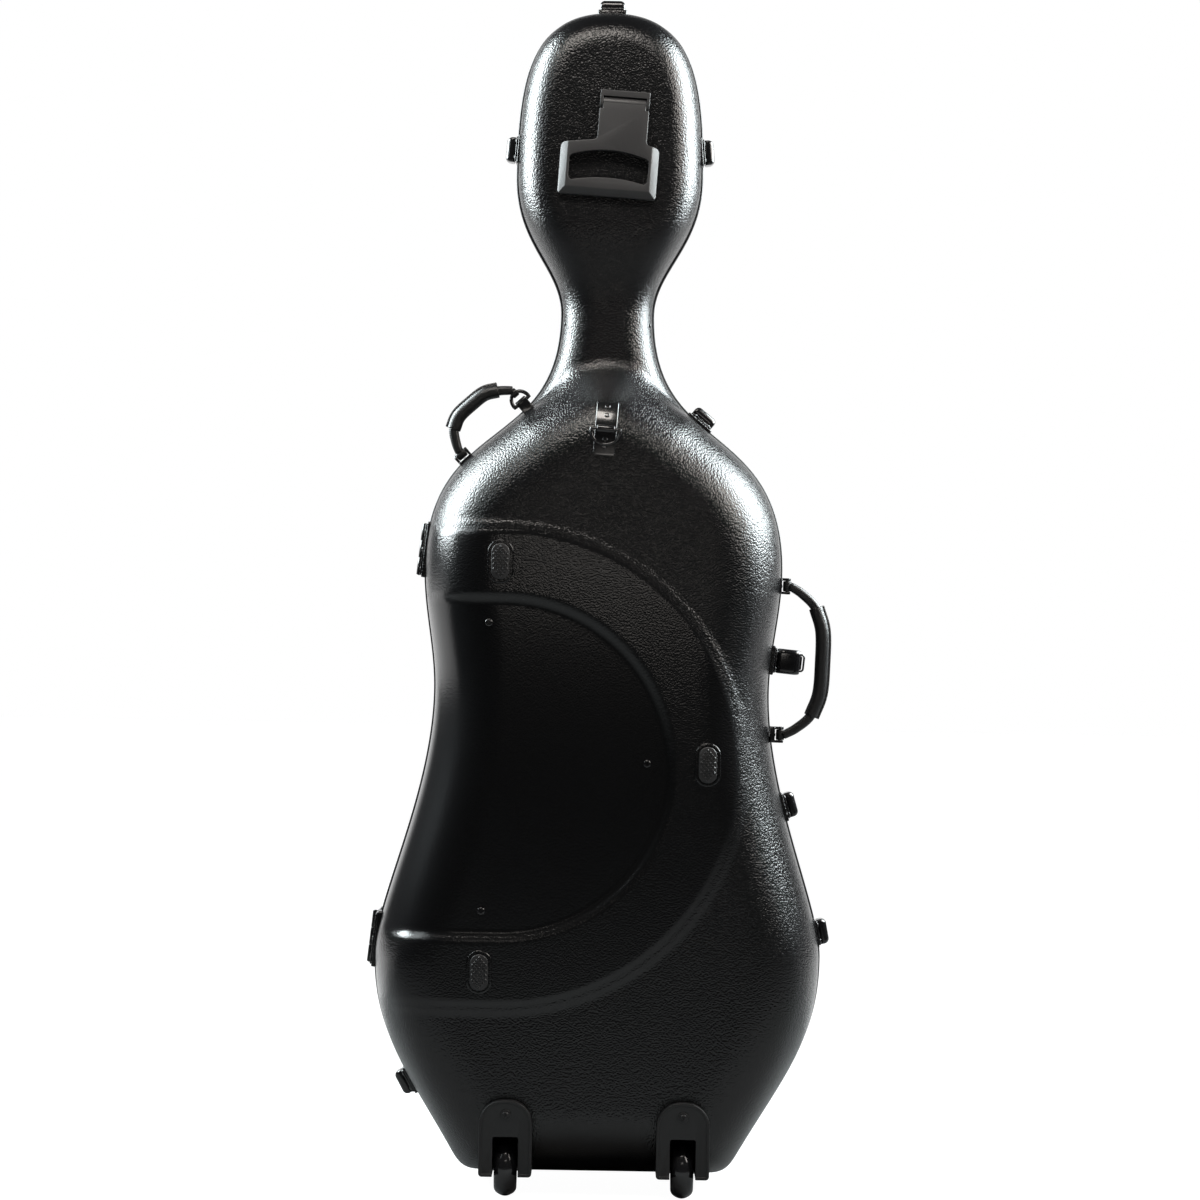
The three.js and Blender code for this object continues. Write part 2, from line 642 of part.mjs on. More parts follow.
// The lever: a domed cap hollow underneath, with its wire bail, drawn about its pivot
function lever() {
  const heel = circlePoints(LATCH_HEEL_RADIUS, ROUND_SIDES).filter(([y]) => y < 0)
    .sort((a, b) => b[1] - a[1])
  const low = -LATCH_HEEL_RADIUS
  const top = LATCH_TOP_STAND - LATCH_PIVOT_STAND
  const nose = LATCH_NOSE_TOP - LATCH_PIVOT_STAND
  const profile = [
    ...heel, [LATCH_NOSE_REACH - LATCH_SKIN, low], [LATCH_NOSE_REACH, low + LATCH_SKIN],
    [LATCH_NOSE_REACH, nose], [LATCH_NOSE_REACH - LATCH_HEEL_RADIUS, top - LATCH_SKIN / 2],
    [LATCH_NOSE_REACH / 2, top], [LATCH_SKIN, top - LATCH_SKIN / 2],
  ]
  const side = slabYZ(profile, LATCH_WIDTH)
  const w = LATCH_WIDTH / 2
  const dome = new THREE.Shape()
  dome.moveTo(-w, low)
  dome.lineTo(w, low)
  dome.lineTo(w, top - LATCH_DOME_DROP)
  dome.quadraticCurveTo(w, top, w - LATCH_DOME_DROP, top)
  dome.lineTo(LATCH_DOME_DROP - w, top)
  dome.quadraticCurveTo(-w, top, -w, top - LATCH_DOME_DROP)
  const across = slabXZ(dome, -LATCH_NOSE_REACH, LATCH_NOSE_REACH + GAP, 0, 2)
  const lugSpace = LATCH_LUG_WIDTH / 2 + RUNNING_GAP
  const hollow = block(
    -lugSpace, lugSpace, -OVERRUN, LATCH_NOSE_REACH / 2, low - OVERRUN, LATCH_LUG_RADIUS + RUNNING_GAP)
  const rest = BAIL_STAND - LATCH_PIVOT_STAND
  const legX = BAIL_SPAN / 2
  const legStart = LATCH_NOSE_REACH - LATCH_HEEL_RADIUS
  const leg = (x) => {
    const length = BAIL_REACH - legStart
    const cylinder = new THREE.CylinderGeometry(BAIL_RADIUS, BAIL_RADIUS, length, WIRE_SIDES)
    return solid(cylinder.translate(x, BAIL_REACH - length / 2, rest))
  }
  const cross = rod(BAIL_RADIUS, BAIL_SPAN + 2 * BAIL_RADIUS, WIRE_SIDES, 0, BAIL_REACH, rest)
  const pin = rod(LATCH_PIN_RADIUS, LATCH_WIDTH - 2 * LATCH_SKIN, WIRE_SIDES)
  return side.intersect(across).subtract(hollow).add(pin).add(leg(-legX)).add(leg(legX)).add(cross)
}

// The base: a plate with one lug, bored for the lever's pin
function latchBase() {
  const low = BOSS_STAND + GAP
  const top = low + LATCH_PLATE
  const plate = slabFlat(LATCH_WIDTH, LATCH_BASE_REACH - LATCH_BASE_FRONT, HINGE_KNUCKLE_RADIUS,
    -(LATCH_BASE_REACH + LATCH_BASE_FRONT) / 2, low, top)
  const lug = rod(LATCH_LUG_RADIUS, LATCH_LUG_WIDTH, ROUND_SIDES, 0, -LATCH_PIVOT_BACK, LATCH_PIVOT_STAND)
  const web = block(-LATCH_LUG_WIDTH / 2, LATCH_LUG_WIDTH / 2, -LATCH_PIVOT_BACK - LATCH_LUG_RADIUS,
    -LATCH_PIVOT_BACK + LATCH_LUG_RADIUS, (low + top) / 2, LATCH_PIVOT_STAND)
  const bore = rod(
    LATCH_PIN_RADIUS + RUNNING_GAP, LATCH_WIDTH, WIRE_SIDES, 0, -LATCH_PIVOT_BACK, LATCH_PIVOT_STAND)
  return plate.add(web).add(lug).subtract(bore)
}

// A flat plate with round corners, in x and y, between two heights
function slabFlat(width, length, corner, y, z0, z1) {
  const shape = roundedRectangle(width, length, corner, 0, y)
  const settings = { depth: z1 - z0, bevelEnabled: false, curveSegments: 1 }
  return solid(new THREE.ExtrudeGeometry(shape, settings).translate(0, 0, z0))
}

// The keeper: a plate on the lid with a raised lip that the bail reaches round
function keeper() {
  const low = BOSS_STAND + GAP
  const top = low + KEEPER_PLATE
  const wideStart = KEEPER_FRONT + (KEEPER_REACH - KEEPER_FRONT) / 2
  const wide = slabFlat(KEEPER_BASE_WIDTH, KEEPER_REACH - wideStart, KEEPER_LIP_THICKNESS,
    (KEEPER_REACH + wideStart) / 2, low, top)
  const w = KEEPER_WIDTH / 2
  const tongue = block(-w, w, KEEPER_FRONT, wideStart + KEEPER_LIP_THICKNESS, low, top)
  const lip = block(-w, w, KEEPER_FRONT, KEEPER_FRONT + KEEPER_LIP_THICKNESS, low, top + KEEPER_LIP)
  return wide.add(tongue).add(lip)
}

function addLatches() {
  const leverGeometry = geometryOf(lever())
  const baseGeometry = geometryOf(latchBase())
  const keeperGeometry = geometryOf(keeper())
  for (const [name, frame] of latches) {
    const arm = named(`latch_${name}_lever`, 'metal', leverGeometry)
    arm.position.set(0, -LATCH_PIVOT_BACK, LATCH_PIVOT_STAND)
    if (name === 'side') arm.rotation.x = rad(OPEN_LATCH_ANGLE)
    frame.add(named(`latch_${name}_base`, 'metal', baseGeometry))
    frame.add(named(`latch_${name}_keeper`, 'metal', keeperGeometry))
    frame.add(arm)
    model.add(frame)
  }
}

// Hinges: their axis is the line that touches both bouts on the left
function touchingLine() {
  const bouts = [
    fineSide.filter((p) => p.z < WAIST_LEVEL),
    fineSide.filter((p) => p.z > WAIST_LEVEL && p.z < CREST_LEVEL),
  ]
  let out = new THREE.Vector2(1, 0)
  const along = (p) => p.x * out.x + p.z * out.y
  const touched = () => bouts.map((bout) => bout.reduce((a, b) => (along(a) > along(b) ? a : b)))
  let places = touched()
  for (let round = 0; round < TOUCH_ROUNDS; round += 1) {
    const [low, high] = places
    out = new THREE.Vector2(high.z - low.z, low.x - high.x).normalize()
    places = touched()
  }
  return { out, places, reach: along(places[0]) }
}

const hingeLine = touchingLine()
const hingeOut = hingeLine.out
const HINGE_REACH = hingeLine.reach + RIM_PROUD + HINGE_KNUCKLE_RADIUS + HINGE_CLEARANCE

function hingeFrame(z) {
  return frameAt({
    x: -(HINGE_REACH - z * hingeOut.y) / hingeOut.x, z, nx: -hingeOut.x, nz: hingeOut.y,
  })
}

const hinges = ['lower', 'upper'].map((name, i) => [name, hingeFrame(hingeLine.places[i].z)])

// One leaf with its knuckles; the back leaf has the two outer knuckles and the pin
function hingeLeaf(isLid) {
  const sign = isLid ? 1 : -1
  const third = HINGE_LENGTH * HINGE_KNUCKLE_SHARE
  const knuckleLength = third - RUNNING_GAP
  const centres = isLid ? [0] : [-third, third]
  const faceLow = -HINGE_KNUCKLE_RADIUS - HINGE_CLEARANCE + GAP
  const plate = slabFlat(HINGE_LENGTH, HINGE_LEAF_REACH - HINGE_KNUCKLE_RADIUS, HINGE_LEAF,
    (sign * (HINGE_LEAF_REACH + HINGE_KNUCKLE_RADIUS)) / 2, faceLow, faceLow + HINGE_LEAF)
  let leaf = plate
  for (const x of centres) {
    const [x0, x1] = [x - knuckleLength / 2, x + knuckleLength / 2]
    const [y0, y1] = isLid ? [0, 2 * HINGE_KNUCKLE_RADIUS] : [-2 * HINGE_KNUCKLE_RADIUS, 0]
    leaf = leaf.add(block(x0, x1, y0, y1, faceLow, faceLow + HINGE_LEAF))
    leaf = leaf.add(rod(HINGE_KNUCKLE_RADIUS - GAP, knuckleLength, HINGE_SEGMENTS, x))
  }
  if (isLid) return leaf.subtract(rod(HINGE_PIN_RADIUS + RUNNING_GAP, HINGE_LENGTH, WIRE_SIDES))
  return leaf.add(rod(HINGE_PIN_RADIUS, HINGE_LENGTH - GAP, WIRE_SIDES))
}

function addHinges() {
  for (const [name, frame] of hinges) {
    frame.add(named(`hinge_${name}_back_leaf`, 'metal', hingeLeaf(false)))
    frame.add(named(`hinge_${name}_lid_leaf`, 'metal', hingeLeaf(true)))
    model.add(frame)
  }
}

// Bosses of the walls under the latches and hinges
function bosses(half) {
  const list = latches.map(([, frame]) => inWorld(
    boss(half, LATCH_WIDTH + 2 * BOSS_MARGIN, BOSS_REACH, BOSS_STAND), frame))
  const hingeFace = -HINGE_KNUCKLE_RADIUS - HINGE_CLEARANCE
  for (const [, frame] of hinges) {
    const deep = block(-HINGE_LENGTH / 2 - BOSS_MARGIN, HINGE_LENGTH / 2 + BOSS_MARGIN,
      EDGE, BOSS_REACH, hingeFace - RIM_PROUD - WALL, hingeFace)
    const geometry = geometryOf(deep)
    if (half.sign < 0) geometry.rotateZ(Math.PI)
    list.push(inWorld(solid(geometry), frame))
  }
  return list
}

// The crescent: a raised layer over the back, kept only between its two radii
const crescentCentre = new THREE.Vector2(-CRESCENT_OFFSET, WAIST_LEVEL - CRESCENT_DROP)

function crescent() {
  const lift = (x, z) => depthAt(BACK, x, z, GAP)
    + (CRESCENT_HEIGHT + GAP) * THREE.MathUtils.smoothstep(depthInside(fineLoop, x, z), 0, CRESCENT_FADE)
  const outer = surface(BACK, GAP, ringShares, lift)
  const inner = surface(BACK, WALL / 2, ringShares)
  const layer = stack([...outer.reverse(), ...inner])
  const [low, high] = [BACK_BODY_DEPTH, BACK_BODY_DEPTH + CRESCENT_HEIGHT]
  const profile = [
    [CRESCENT_INNER_RADIUS - CRESCENT_SLOPE, EDGE], [CRESCENT_OUTER_RADIUS + CRESCENT_SLOPE, EDGE],
    [CRESCENT_OUTER_RADIUS + CRESCENT_SLOPE, low], [CRESCENT_OUTER_RADIUS, high],
    [CRESCENT_OUTER_RADIUS, high + OVERRUN], [CRESCENT_INNER_RADIUS, high + OVERRUN],
    [CRESCENT_INNER_RADIUS, high], [CRESCENT_INNER_RADIUS - CRESCENT_SLOPE, low],
    [CRESCENT_INNER_RADIUS - CRESCENT_SLOPE, EDGE],
  ].map(([radius, depth]) => new THREE.Vector2(radius, -depth))
  const ringBody = solid(new THREE.LatheGeometry(profile, CRESCENT_SEGMENTS)
    .translate(crescentCentre.x, 0, crescentCentre.y))
  return layer.intersect(ringBody)
}

function onCircle(radius, degrees) {
  const angle = rad(degrees)
  return [crescentCentre.x + radius * Math.cos(angle), crescentCentre.y + radius * Math.sin(angle)]
}

// Rest pads in pockets on the crescent
const PAD_CIRCLE_RADIUS = (CRESCENT_INNER_RADIUS + CRESCENT_OUTER_RADIUS) / 2
const PAD_SEAT_DEPTH = BACK_BODY_DEPTH + CRESCENT_HEIGHT + PAD_SEAT_STAND

function obround(margin, x, z) {
  const radius = PAD_WIDTH / 2 + margin
  return roundedRectangle(2 * radius, PAD_HEIGHT + 2 * margin, radius - GAP, x, z)
}

function padSeats(body) {
  let result = body
  for (const degrees of Object.values(padAngles)) {
    const [x, z] = onCircle(PAD_CIRCLE_RADIUS, degrees)
    const floor = PAD_SEAT_DEPTH - PAD_POCKET_DEPTH
    const seat = slabXZ(obround(PAD_SEAT_MARGIN, x, z), -PAD_SEAT_DEPTH, -depthAt(BACK, x, z, WALL / 2))
    const pocket = slabXZ(obround(PAD_POCKET_MARGIN, x, z), -PAD_SEAT_DEPTH - OVERRUN, -floor)
    result = result.add(seat).subtract(pocket)
  }
  return result
}

function addPads() {
  for (const [name, degrees] of Object.entries(padAngles)) {
    const [x, z] = onCircle(PAD_CIRCLE_RADIUS, degrees)
    const floor = PAD_SEAT_DEPTH - PAD_POCKET_DEPTH + GAP
    const pad = slabXZ(obround(0, 0, 0), -PAD_SEAT_DEPTH - PAD_STAND, -floor, PAD_CHAMFER, 2)
    const mesh = named(`rest_pad_${name}`, 'rubber', pad)
    mesh.position.set(x, 0, z)
    model.add(mesh)
  }
}

// Screw heads in the recess, cut to the faces they sit on
function addScrews() {
  for (const [name, degrees] of Object.entries(screwAngles)) {
    const [x, z] = onCircle(SCREW_CIRCLE_RADIUS, degrees)
    const r = SCREW_HEAD_RADIUS
    const below = caseSpace.intersect(block(x - r, x + r, -BACK_BODY_DEPTH - OVERRUN, 0, z - r, z + r))
    const face = below.boundingBox().min[1]
    const head = new THREE.CylinderGeometry(r, r * SCREW_DOME_SHARE, SCREW_HEAD_STAND, HINGE_SEGMENTS)
    const base = new THREE.CylinderGeometry(r, r, SCREW_SINK, HINGE_SEGMENTS)
    const group = new THREE.Group()
    group.position.set(x, face, z)
    head.translate(0, -SCREW_HEAD_STAND / 2, 0)
    base.translate(0, SCREW_SINK / 2, 0)
    group.add(named(`recess_screw_${name}`, 'metal', seated(solid(head).add(solid(base)), group)))
    model.add(group)
  }
}

// Wheel housings: an arched block with a slot for the wheel
function housingShape(margin, bottom) {
  const w = HOUSING_WIDTH / 2 + margin
  const arch = HOUSING_ARCH_RADIUS + margin
  const top = HOUSING_TOP + margin
  const shape = new THREE.Shape()
  shape.moveTo(-w, bottom)
  shape.lineTo(-w, top - arch)
  shape.absarc(-w + arch, top - arch, arch, Math.PI, Math.PI / 2, true)
  shape.lineTo(w - arch, top)
  shape.absarc(w - arch, top - arch, arch, Math.PI / 2, 0, true)
  shape.lineTo(w, bottom)
  return shape
}

const SLOT_FRONT = WHEEL_REACH - WHEEL_RADIUS - WHEEL_CLEARANCE

function housing() {
  const body = slabXZ(
    housingShape(0, HOUSING_BOTTOM), -HOUSING_FACE, -SLOT_FRONT + HOUSING_WALL, HOUSING_EDGE / 2)
  const slot = WHEEL_WIDTH / 2 + WHEEL_SIDE_GAP
  const room = block(-slot, slot, -HOUSING_FACE - OVERRUN, -SLOT_FRONT, -OVERRUN, HOUSING_SLOT_TOP)
  const bore = rod(AXLE_RADIUS + GAP, 2 * (slot + AXLE_SEAT), AXLE_SIDES, 0, -WHEEL_REACH, WHEEL_RADIUS)
  return body.subtract(room).subtract(bore)
}

function wheel() {
  const half = WHEEL_WIDTH / 2
  const bore = AXLE_RADIUS + RUNNING_GAP
  const shoulder = WHEEL_RADIUS - half / 2
  const face = half - WHEEL_HUB_INSET
  const profile = [
    [bore, -half], [WHEEL_HUB_RADIUS, -half], [WHEEL_HUB_RADIUS, -face], [shoulder, -face],
    [WHEEL_RADIUS, -face / 2], [WHEEL_RADIUS, face / 2], [shoulder, face],
    [WHEEL_HUB_RADIUS, face], [WHEEL_HUB_RADIUS, half], [bore, half], [bore, -half],
  ].map(([radius, x]) => new THREE.Vector2(radius, x))
  return solid(new THREE.LatheGeometry(profile, WHEEL_SEGMENTS).rotateZ(-Math.PI / 2))
}

function addWheels() {
  const slot = WHEEL_WIDTH / 2 + WHEEL_SIDE_GAP
  for (const [name, sign] of [['left', -1], ['right', 1]]) {
    const group = new THREE.Group()
    group.position.x = (sign * WHEEL_SPACING) / 2
    const turning = named(`wheel_${name}`, 'tyre', wheel())
    const axle = named(
      `wheel_axle_${name}`, 'metal', rod(AXLE_RADIUS, 2 * (slot + AXLE_SEAT - GAP), AXLE_SIDES))
    for (const mesh of [turning, axle]) mesh.position.set(0, -WHEEL_REACH, WHEEL_RADIUS)
    group.add(named(`wheel_housing_${name}`, 'moulded', housing()), turning, axle)
    model.add(group)
  }
}

// The space that each housing takes out of the shell and the lining
function housingSpaces(margin) {
  return [-1, 1].map((sign) => {
    const shape = housingShape(margin, -OVERRUN)
    const space = geometryOf(slabXZ(shape, -HOUSING_FACE - OVERRUN, -SLOT_FRONT + HOUSING_WALL + margin))
    return solid(space.translate((sign * WHEEL_SPACING) / 2, 0, 0))
  })
}

// Front feet, cut to the lid's underside
function addFeet() {
  for (const [name, sign] of [['left', -1], ['right', 1]]) {
    const foot = new THREE.CylinderGeometry(
      FOOT_TOP_RADIUS, FOOT_RADIUS, GROUND_CLEARANCE + OVERRUN, FOOT_SEGMENTS)
    foot.rotateX(Math.PI / 2).translate(0, 0, (GROUND_CLEARANCE + OVERRUN) / 2)
    const group = new THREE.Group()
    group.position.set((sign * FOOT_SPACING) / 2, FOOT_REACH, 0)
    group.add(named(`front_foot_${name}`, 'rubber', seated(solid(foot), group)))
    model.add(group)
  }
}

// A D ring with its straight bar along x at the origin, reaching out along +z
function dRing(width, drop, wire) {
  const half = width / 2 - wire
  const flat = (x, z) => new THREE.Vector3(x, 0, z)
  const pull = (drop - 2 * wire) * BOW_PULL_SHARE
  const curve = new THREE.CubicBezierCurve3(
    flat(-half, 0), flat(-half, pull), flat(half, pull), flat(half, 0))
  const bow = sweep(curve, circlePoints(wire, WIRE_SIDES), HANDLE_STEPS)
  return bow.add(rod(wire, 2 * (half + wire), WIRE_SIDES))
}

// Handles run between two points beside the outline
function handleFrame(low, high, sign) {
  const a = sideAt(low)
  const b = sideAt(high)
  const along = new THREE.Vector2(b.x - a.x, b.z - a.z)
  const normal = new THREE.Vector2(along.y, -along.x).normalize()
  const group = frameAt({
    x: (sign * (a.x + b.x)) / 2, z: (low + high) / 2, nx: sign * normal.x, nz: normal.y,
  })
  group.position.y = -HANDLE_PLANE
  return { group, length: along.length() }
}

// A staple that carries a bar: base block, two ears and the bar along x
function staple(group, x) {
  const earInner = HANDLE_EYE_LENGTH / 2 + RUNNING_GAP
  const earOuter = earInner + HANDLE_EAR
  const w = HANDLE_BRACKET_WIDTH / 2
  const top = HANDLE_BAR_STAND + HANDLE_BAR_RADIUS + HANDLE_EAR_MARGIN
  const outline = new THREE.Shape()
  outline.moveTo(-w, -OVERRUN)
  outline.lineTo(w, -OVERRUN)
  outline.lineTo(w, 0)
  outline.lineTo(w / 2, top)
  outline.lineTo(-w / 2, top)
  outline.lineTo(-w, 0)
  const whole = slabYZ(outline.getPoints().map((p) => [p.x, p.y]), 2 * earOuter)
  const floor = HANDLE_BAR_STAND - HANDLE_EYE_RADIUS - HANDLE_EYE_CLEARANCE
  const room = block(-earInner, earInner, -OVERRUN, OVERRUN, floor, OVERRUN)
  const bar = rod(HANDLE_BAR_RADIUS, 2 * earOuter - HANDLE_EAR, ROUND_SIDES, 0, 0, HANDLE_BAR_STAND)
  const geometry = geometryOf(whole.subtract(room).add(bar))
  return seated(solid(geometry.translate(x, 0, 0)), group)
}

// The eye at a handle's end, bored for its bar
function eye(x, { lift, bore, length }) {
  return {
    body: rod(HANDLE_EYE_RADIUS, length, HINGE_SEGMENTS, x, 0, lift),
    hole: rod(bore, 2 * length, ROUND_SIDES, x, 0, lift),
  }
}

// A block with a bored barrel along x, which carries a ring's straight bar
function barrelMount(group, x) {
  const half = RING_BARREL_LENGTH / 2
  const outer = RING_WIRE_RADIUS + RING_BARREL_WALL
  const web = block(-half, half, -outer, outer, -OVERRUN, HANDLE_BAR_STAND)
  const barrel = rod(outer, RING_BARREL_LENGTH, HINGE_SEGMENTS, 0, 0, HANDLE_BAR_STAND)
  const bore = rod(
    RING_WIRE_RADIUS + RUNNING_GAP, 2 * RING_BARREL_LENGTH, ROUND_SIDES, x, 0, HANDLE_BAR_STAND)
  const mount = solid(geometryOf(web.add(barrel)).translate(x, 0, 0))
  return seated(mount, group).subtract(bore)
}

// A strap with a padded grip over its middle, drawn about the line through its two bars;
// each end has the lift and the bore of its eye
function grip(span, rise, ends) {
  const half = span / 2
  const endAt = [-half, half]
  const at = (x, z) => new THREE.Vector3(x, 0, z)
  const points = gripPointShares.map(([a, b]) => at(a * half, b * rise))
  const starts = ends.map(({ lift, bore }, i) =>
    at(endAt[i], lift + (HANDLE_EYE_RADIUS + bore) / 2))
  const outer = points.filter((p) => ends.every(({ lift }, i) =>
    lift === 0 || Math.abs(p.x - endAt[i]) > lift))
  const path = new THREE.CatmullRomCurve3([starts[0], ...outer, starts[1]])
  const strap = sweep(path, rectanglePoints(HANDLE_STRAP_THICKNESS, HANDLE_STRAP_WIDTH), STRAP_STEPS)
  const middle = new THREE.CatmullRomCurve3(outer.slice(1, -1))
  const pad = sweep(middle, circlePoints(HANDLE_GRIP_RADIUS, HANDLE_GRIP_SIDES), HANDLE_STEPS)
  const eyes = ends.map((end, i) => eye(endAt[i], end))
  let body = strap.add(pad)
  for (const e of eyes) body = body.add(e.body)
  for (const e of eyes) body = body.subtract(e.hole)
  return body
}

const { lerp } = THREE.MathUtils
const sideHandle = handleFrame(
  lerp(LOWER_BOUT_LEVEL, WAIST_LEVEL, sideHandleShares[0]),
  lerp(WAIST_LEVEL, UPPER_BOUT_LEVEL, sideHandleShares[1]), 1)
const shoulderHandle = handleFrame(
  lerp(UPPER_BOUT_LEVEL, NECK_LEVEL, shoulderHandleShares[0]),
  lerp(UPPER_BOUT_LEVEL, NECK_LEVEL, shoulderHandleShares[1]), -1)

function addHandles() {
  const bar = { lift: 0, bore: HANDLE_BAR_RADIUS + RUNNING_GAP, length: HANDLE_EYE_LENGTH }
  const side = sideHandle.group
  const half = sideHandle.length / 2
  side.add(named('side_handle_bracket_upper', 'metal', staple(side, -half)))
  side.add(named('side_handle_bracket_lower', 'metal', staple(side, half)))
  const sideGrip = named('side_handle', 'leather', grip(sideHandle.length, SIDE_HANDLE_RISE, [bar, bar]))
  sideGrip.position.z = HANDLE_BAR_STAND
  side.add(sideGrip)

  const shoulder = shoulderHandle.group
  const reach = shoulderHandle.length / 2
  const bow = {
    lift: SHOULDER_RING_DEPTH - 2 * RING_WIRE_RADIUS,
    bore: RING_WIRE_RADIUS + RING_PLAY,
    length: RING_EYE_LENGTH,
  }
  shoulder.add(named('shoulder_handle_bracket_lower', 'metal', staple(shoulder, -reach)))
  shoulder.add(named('shoulder_handle_bracket_upper', 'metal', barrelMount(shoulder, reach)))
  const shoulderGrip = named(
    'shoulder_handle', 'leather', grip(shoulderHandle.length, SHOULDER_HANDLE_RISE, [bar, bow]))
  const ringMesh = named(
    'shoulder_handle_ring', 'metal', dRing(SHOULDER_RING_WIDTH, SHOULDER_RING_DEPTH, RING_WIRE_RADIUS))
  shoulderGrip.position.z = HANDLE_BAR_STAND
  ringMesh.position.set(reach, 0, HANDLE_BAR_STAND)
  shoulder.add(shoulderGrip, ringMesh)
  model.add(side, shoulder)
}

// Shells, rims, linings and the neck cradle
function addHalves() {
  let back = bowl(BACK, 0, WALL, ringShares, innerRingShares).add(crescent())
  for (const body of bosses(BACK)) back = back.add(body)
  back = padSeats(back)
  for (const space of housingSpaces(GAP)) back = back.subtract(space)
  let lid = bowl(LID, 0, WALL, ringShares, innerRingShares)
  for (const body of bosses(LID)) lid = lid.add(body)
  const liningInset = WALL + GAP
  let backLining = bowl(BACK, liningInset, liningInset + LINING, innerRingShares, liningRingShares)
  for (const space of housingSpaces(LINING_CLEARANCE)) backLining = backLining.subtract(space)
  const lidLining = bowl(LID, liningInset, liningInset + LINING, innerRingShares, liningRingShares)
  model.add(named('back_shell', 'shell', back))
  model.add(named('lid_shell', 'shell', lid))
  model.add(named('back_lining', 'lining', backLining))
  model.add(named('lid_lining', 'lining', lidLining))
}

function addRims() {
  const seam = SEAM_GAP / 2
  const inner = -(WALL + GAP + LINING)
  const far = seam + RIM_HEIGHT
  const step = inner + TONGUE_THICKNESS
  const backRim = outlineBand([
    [inner, -far], [RIM_PROUD, -far], [RIM_PROUD, -seam], [step, -seam], [step, TONGUE_HEIGHT],
    [inner, TONGUE_HEIGHT]])
  const lidRim = outlineBand([
    [inner, far], [inner, TONGUE_HEIGHT + SEAM_GAP], [step + SEAM_GAP, TONGUE_HEIGHT + SEAM_GAP],
    [step + SEAM_GAP, seam], [RIM_PROUD, seam], [RIM_PROUD, far]])
  model.add(named('back_rim', 'rim', backRim))
  model.add(named('lid_rim', 'rim', lidRim))
}

function addCradle() {
  const inset = WALL + LINING + 2 * GAP
  const [z0, z1] = [NECK_LEVEL - CRADLE_LENGTH / 2, NECK_LEVEL + CRADLE_LENGTH / 2]
  const room = filled(BACK, inset, EDGE, liningRingShares)
  const slab = block(-NECK_WIDTH, NECK_WIDTH, -BACK_BODY_DEPTH, -CRADLE_TOP, z0, z1)
  const saddle = new THREE.CylinderGeometry(
    CRADLE_SADDLE_RADIUS, CRADLE_SADDLE_RADIUS, CRADLE_LENGTH * 2, FOOT_SEGMENTS)
  saddle.rotateX(Math.PI / 2).translate(0, -CRADLE_TOP, NECK_LEVEL)
  model.add(named('neck_cradle', 'lining', room.intersect(slab).subtract(solid(saddle))))
}

// The strap plate bends with the back, and its tube holds the D ring
function addStrapPlate() {
  const group = new THREE.Group()
  const level = CREST_LEVEL - CREST_ARCH_RISE * STRAP_PLATE_DROP_SHARE
  group.position.set(0, 0, level)
  group.rotation.y = rad(STRAP_PLATE_LEAN)
  group.updateMatrixWorld(true)
  const inverse = group.matrixWorld.clone().invert()
  const outer = solid(geometryOf(filled(BACK, -GAP - STRAP_PLATE_THICKNESS, EDGE)).applyMatrix4(inverse))
  const strip = slabXZ(
    roundedRectangle(STRAP_PLATE_WIDTH, STRAP_PLATE_LENGTH, STRAP_PLATE_THICKNESS),
    -BACK_BODY_DEPTH - OVERRUN, -BACK_BODY_DEPTH + OVERRUN)
  const barAt = BACK_BODY_DEPTH + 2 * GAP + STRAP_PLATE_THICKNESS + D_RING_WIRE
  const webHalf = STRAP_TUBE_LENGTH / 2
  const web = block(
    -webHalf, webHalf, -barAt, -depthAt(BACK, 0, level, 0), -STRAP_TUBE_RADIUS, STRAP_TUBE_RADIUS)
  const tube = rod(STRAP_TUBE_RADIUS, STRAP_TUBE_LENGTH, HINGE_SEGMENTS, 0, -barAt, 0)
  const bore = rod(D_RING_WIRE + RUNNING_GAP, STRAP_TUBE_LENGTH * 2, ROUND_SIDES, 0, -barAt, 0)
  const plate = seated(outer.intersect(strip).add(tube).add(web), group).subtract(bore)
  group.add(named('strap_plate', 'metal', plate))
  const ringMesh = named('d_ring', 'metal', dRing(D_RING_WIDTH, D_RING_DROP, D_RING_WIRE))
  ringMesh.position.set(0, -barAt, 0)
  ringMesh.rotation.x = Math.PI
  group.add(ringMesh)
  model.add(group)
}

// Tow handle: a framed grip on a stem that folds down over the back of the head
function towFrame() {
  const top = -TOW_STEM_LENGTH
  const [x, z] = [-TOW_FRAME_SHIFT, top - TOW_FRAME_HEIGHT / 2]
  const plate = roundedRectangle(TOW_FRAME_WIDTH, TOW_FRAME_HEIGHT, TOW_CORNER, x, z)
  const w = TOW_WINDOW_WIDTH / 2
  const high = top - TOW_TOP_BAR - TOW_WINDOW_ARCH
  const low = high - TOW_WINDOW_HEIGHT
  const hole = new THREE.Path()
  hole.moveTo(x - w, low)
  hole.quadraticCurveTo(x, low - 2 * TOW_WINDOW_ARCH, x + w, low)
  hole.lineTo(x + w, high)
  hole.quadraticCurveTo(x, high + 2 * TOW_WINDOW_ARCH, x - w, high)
  hole.closePath()
  plate.holes.push(hole)
  return plate
}

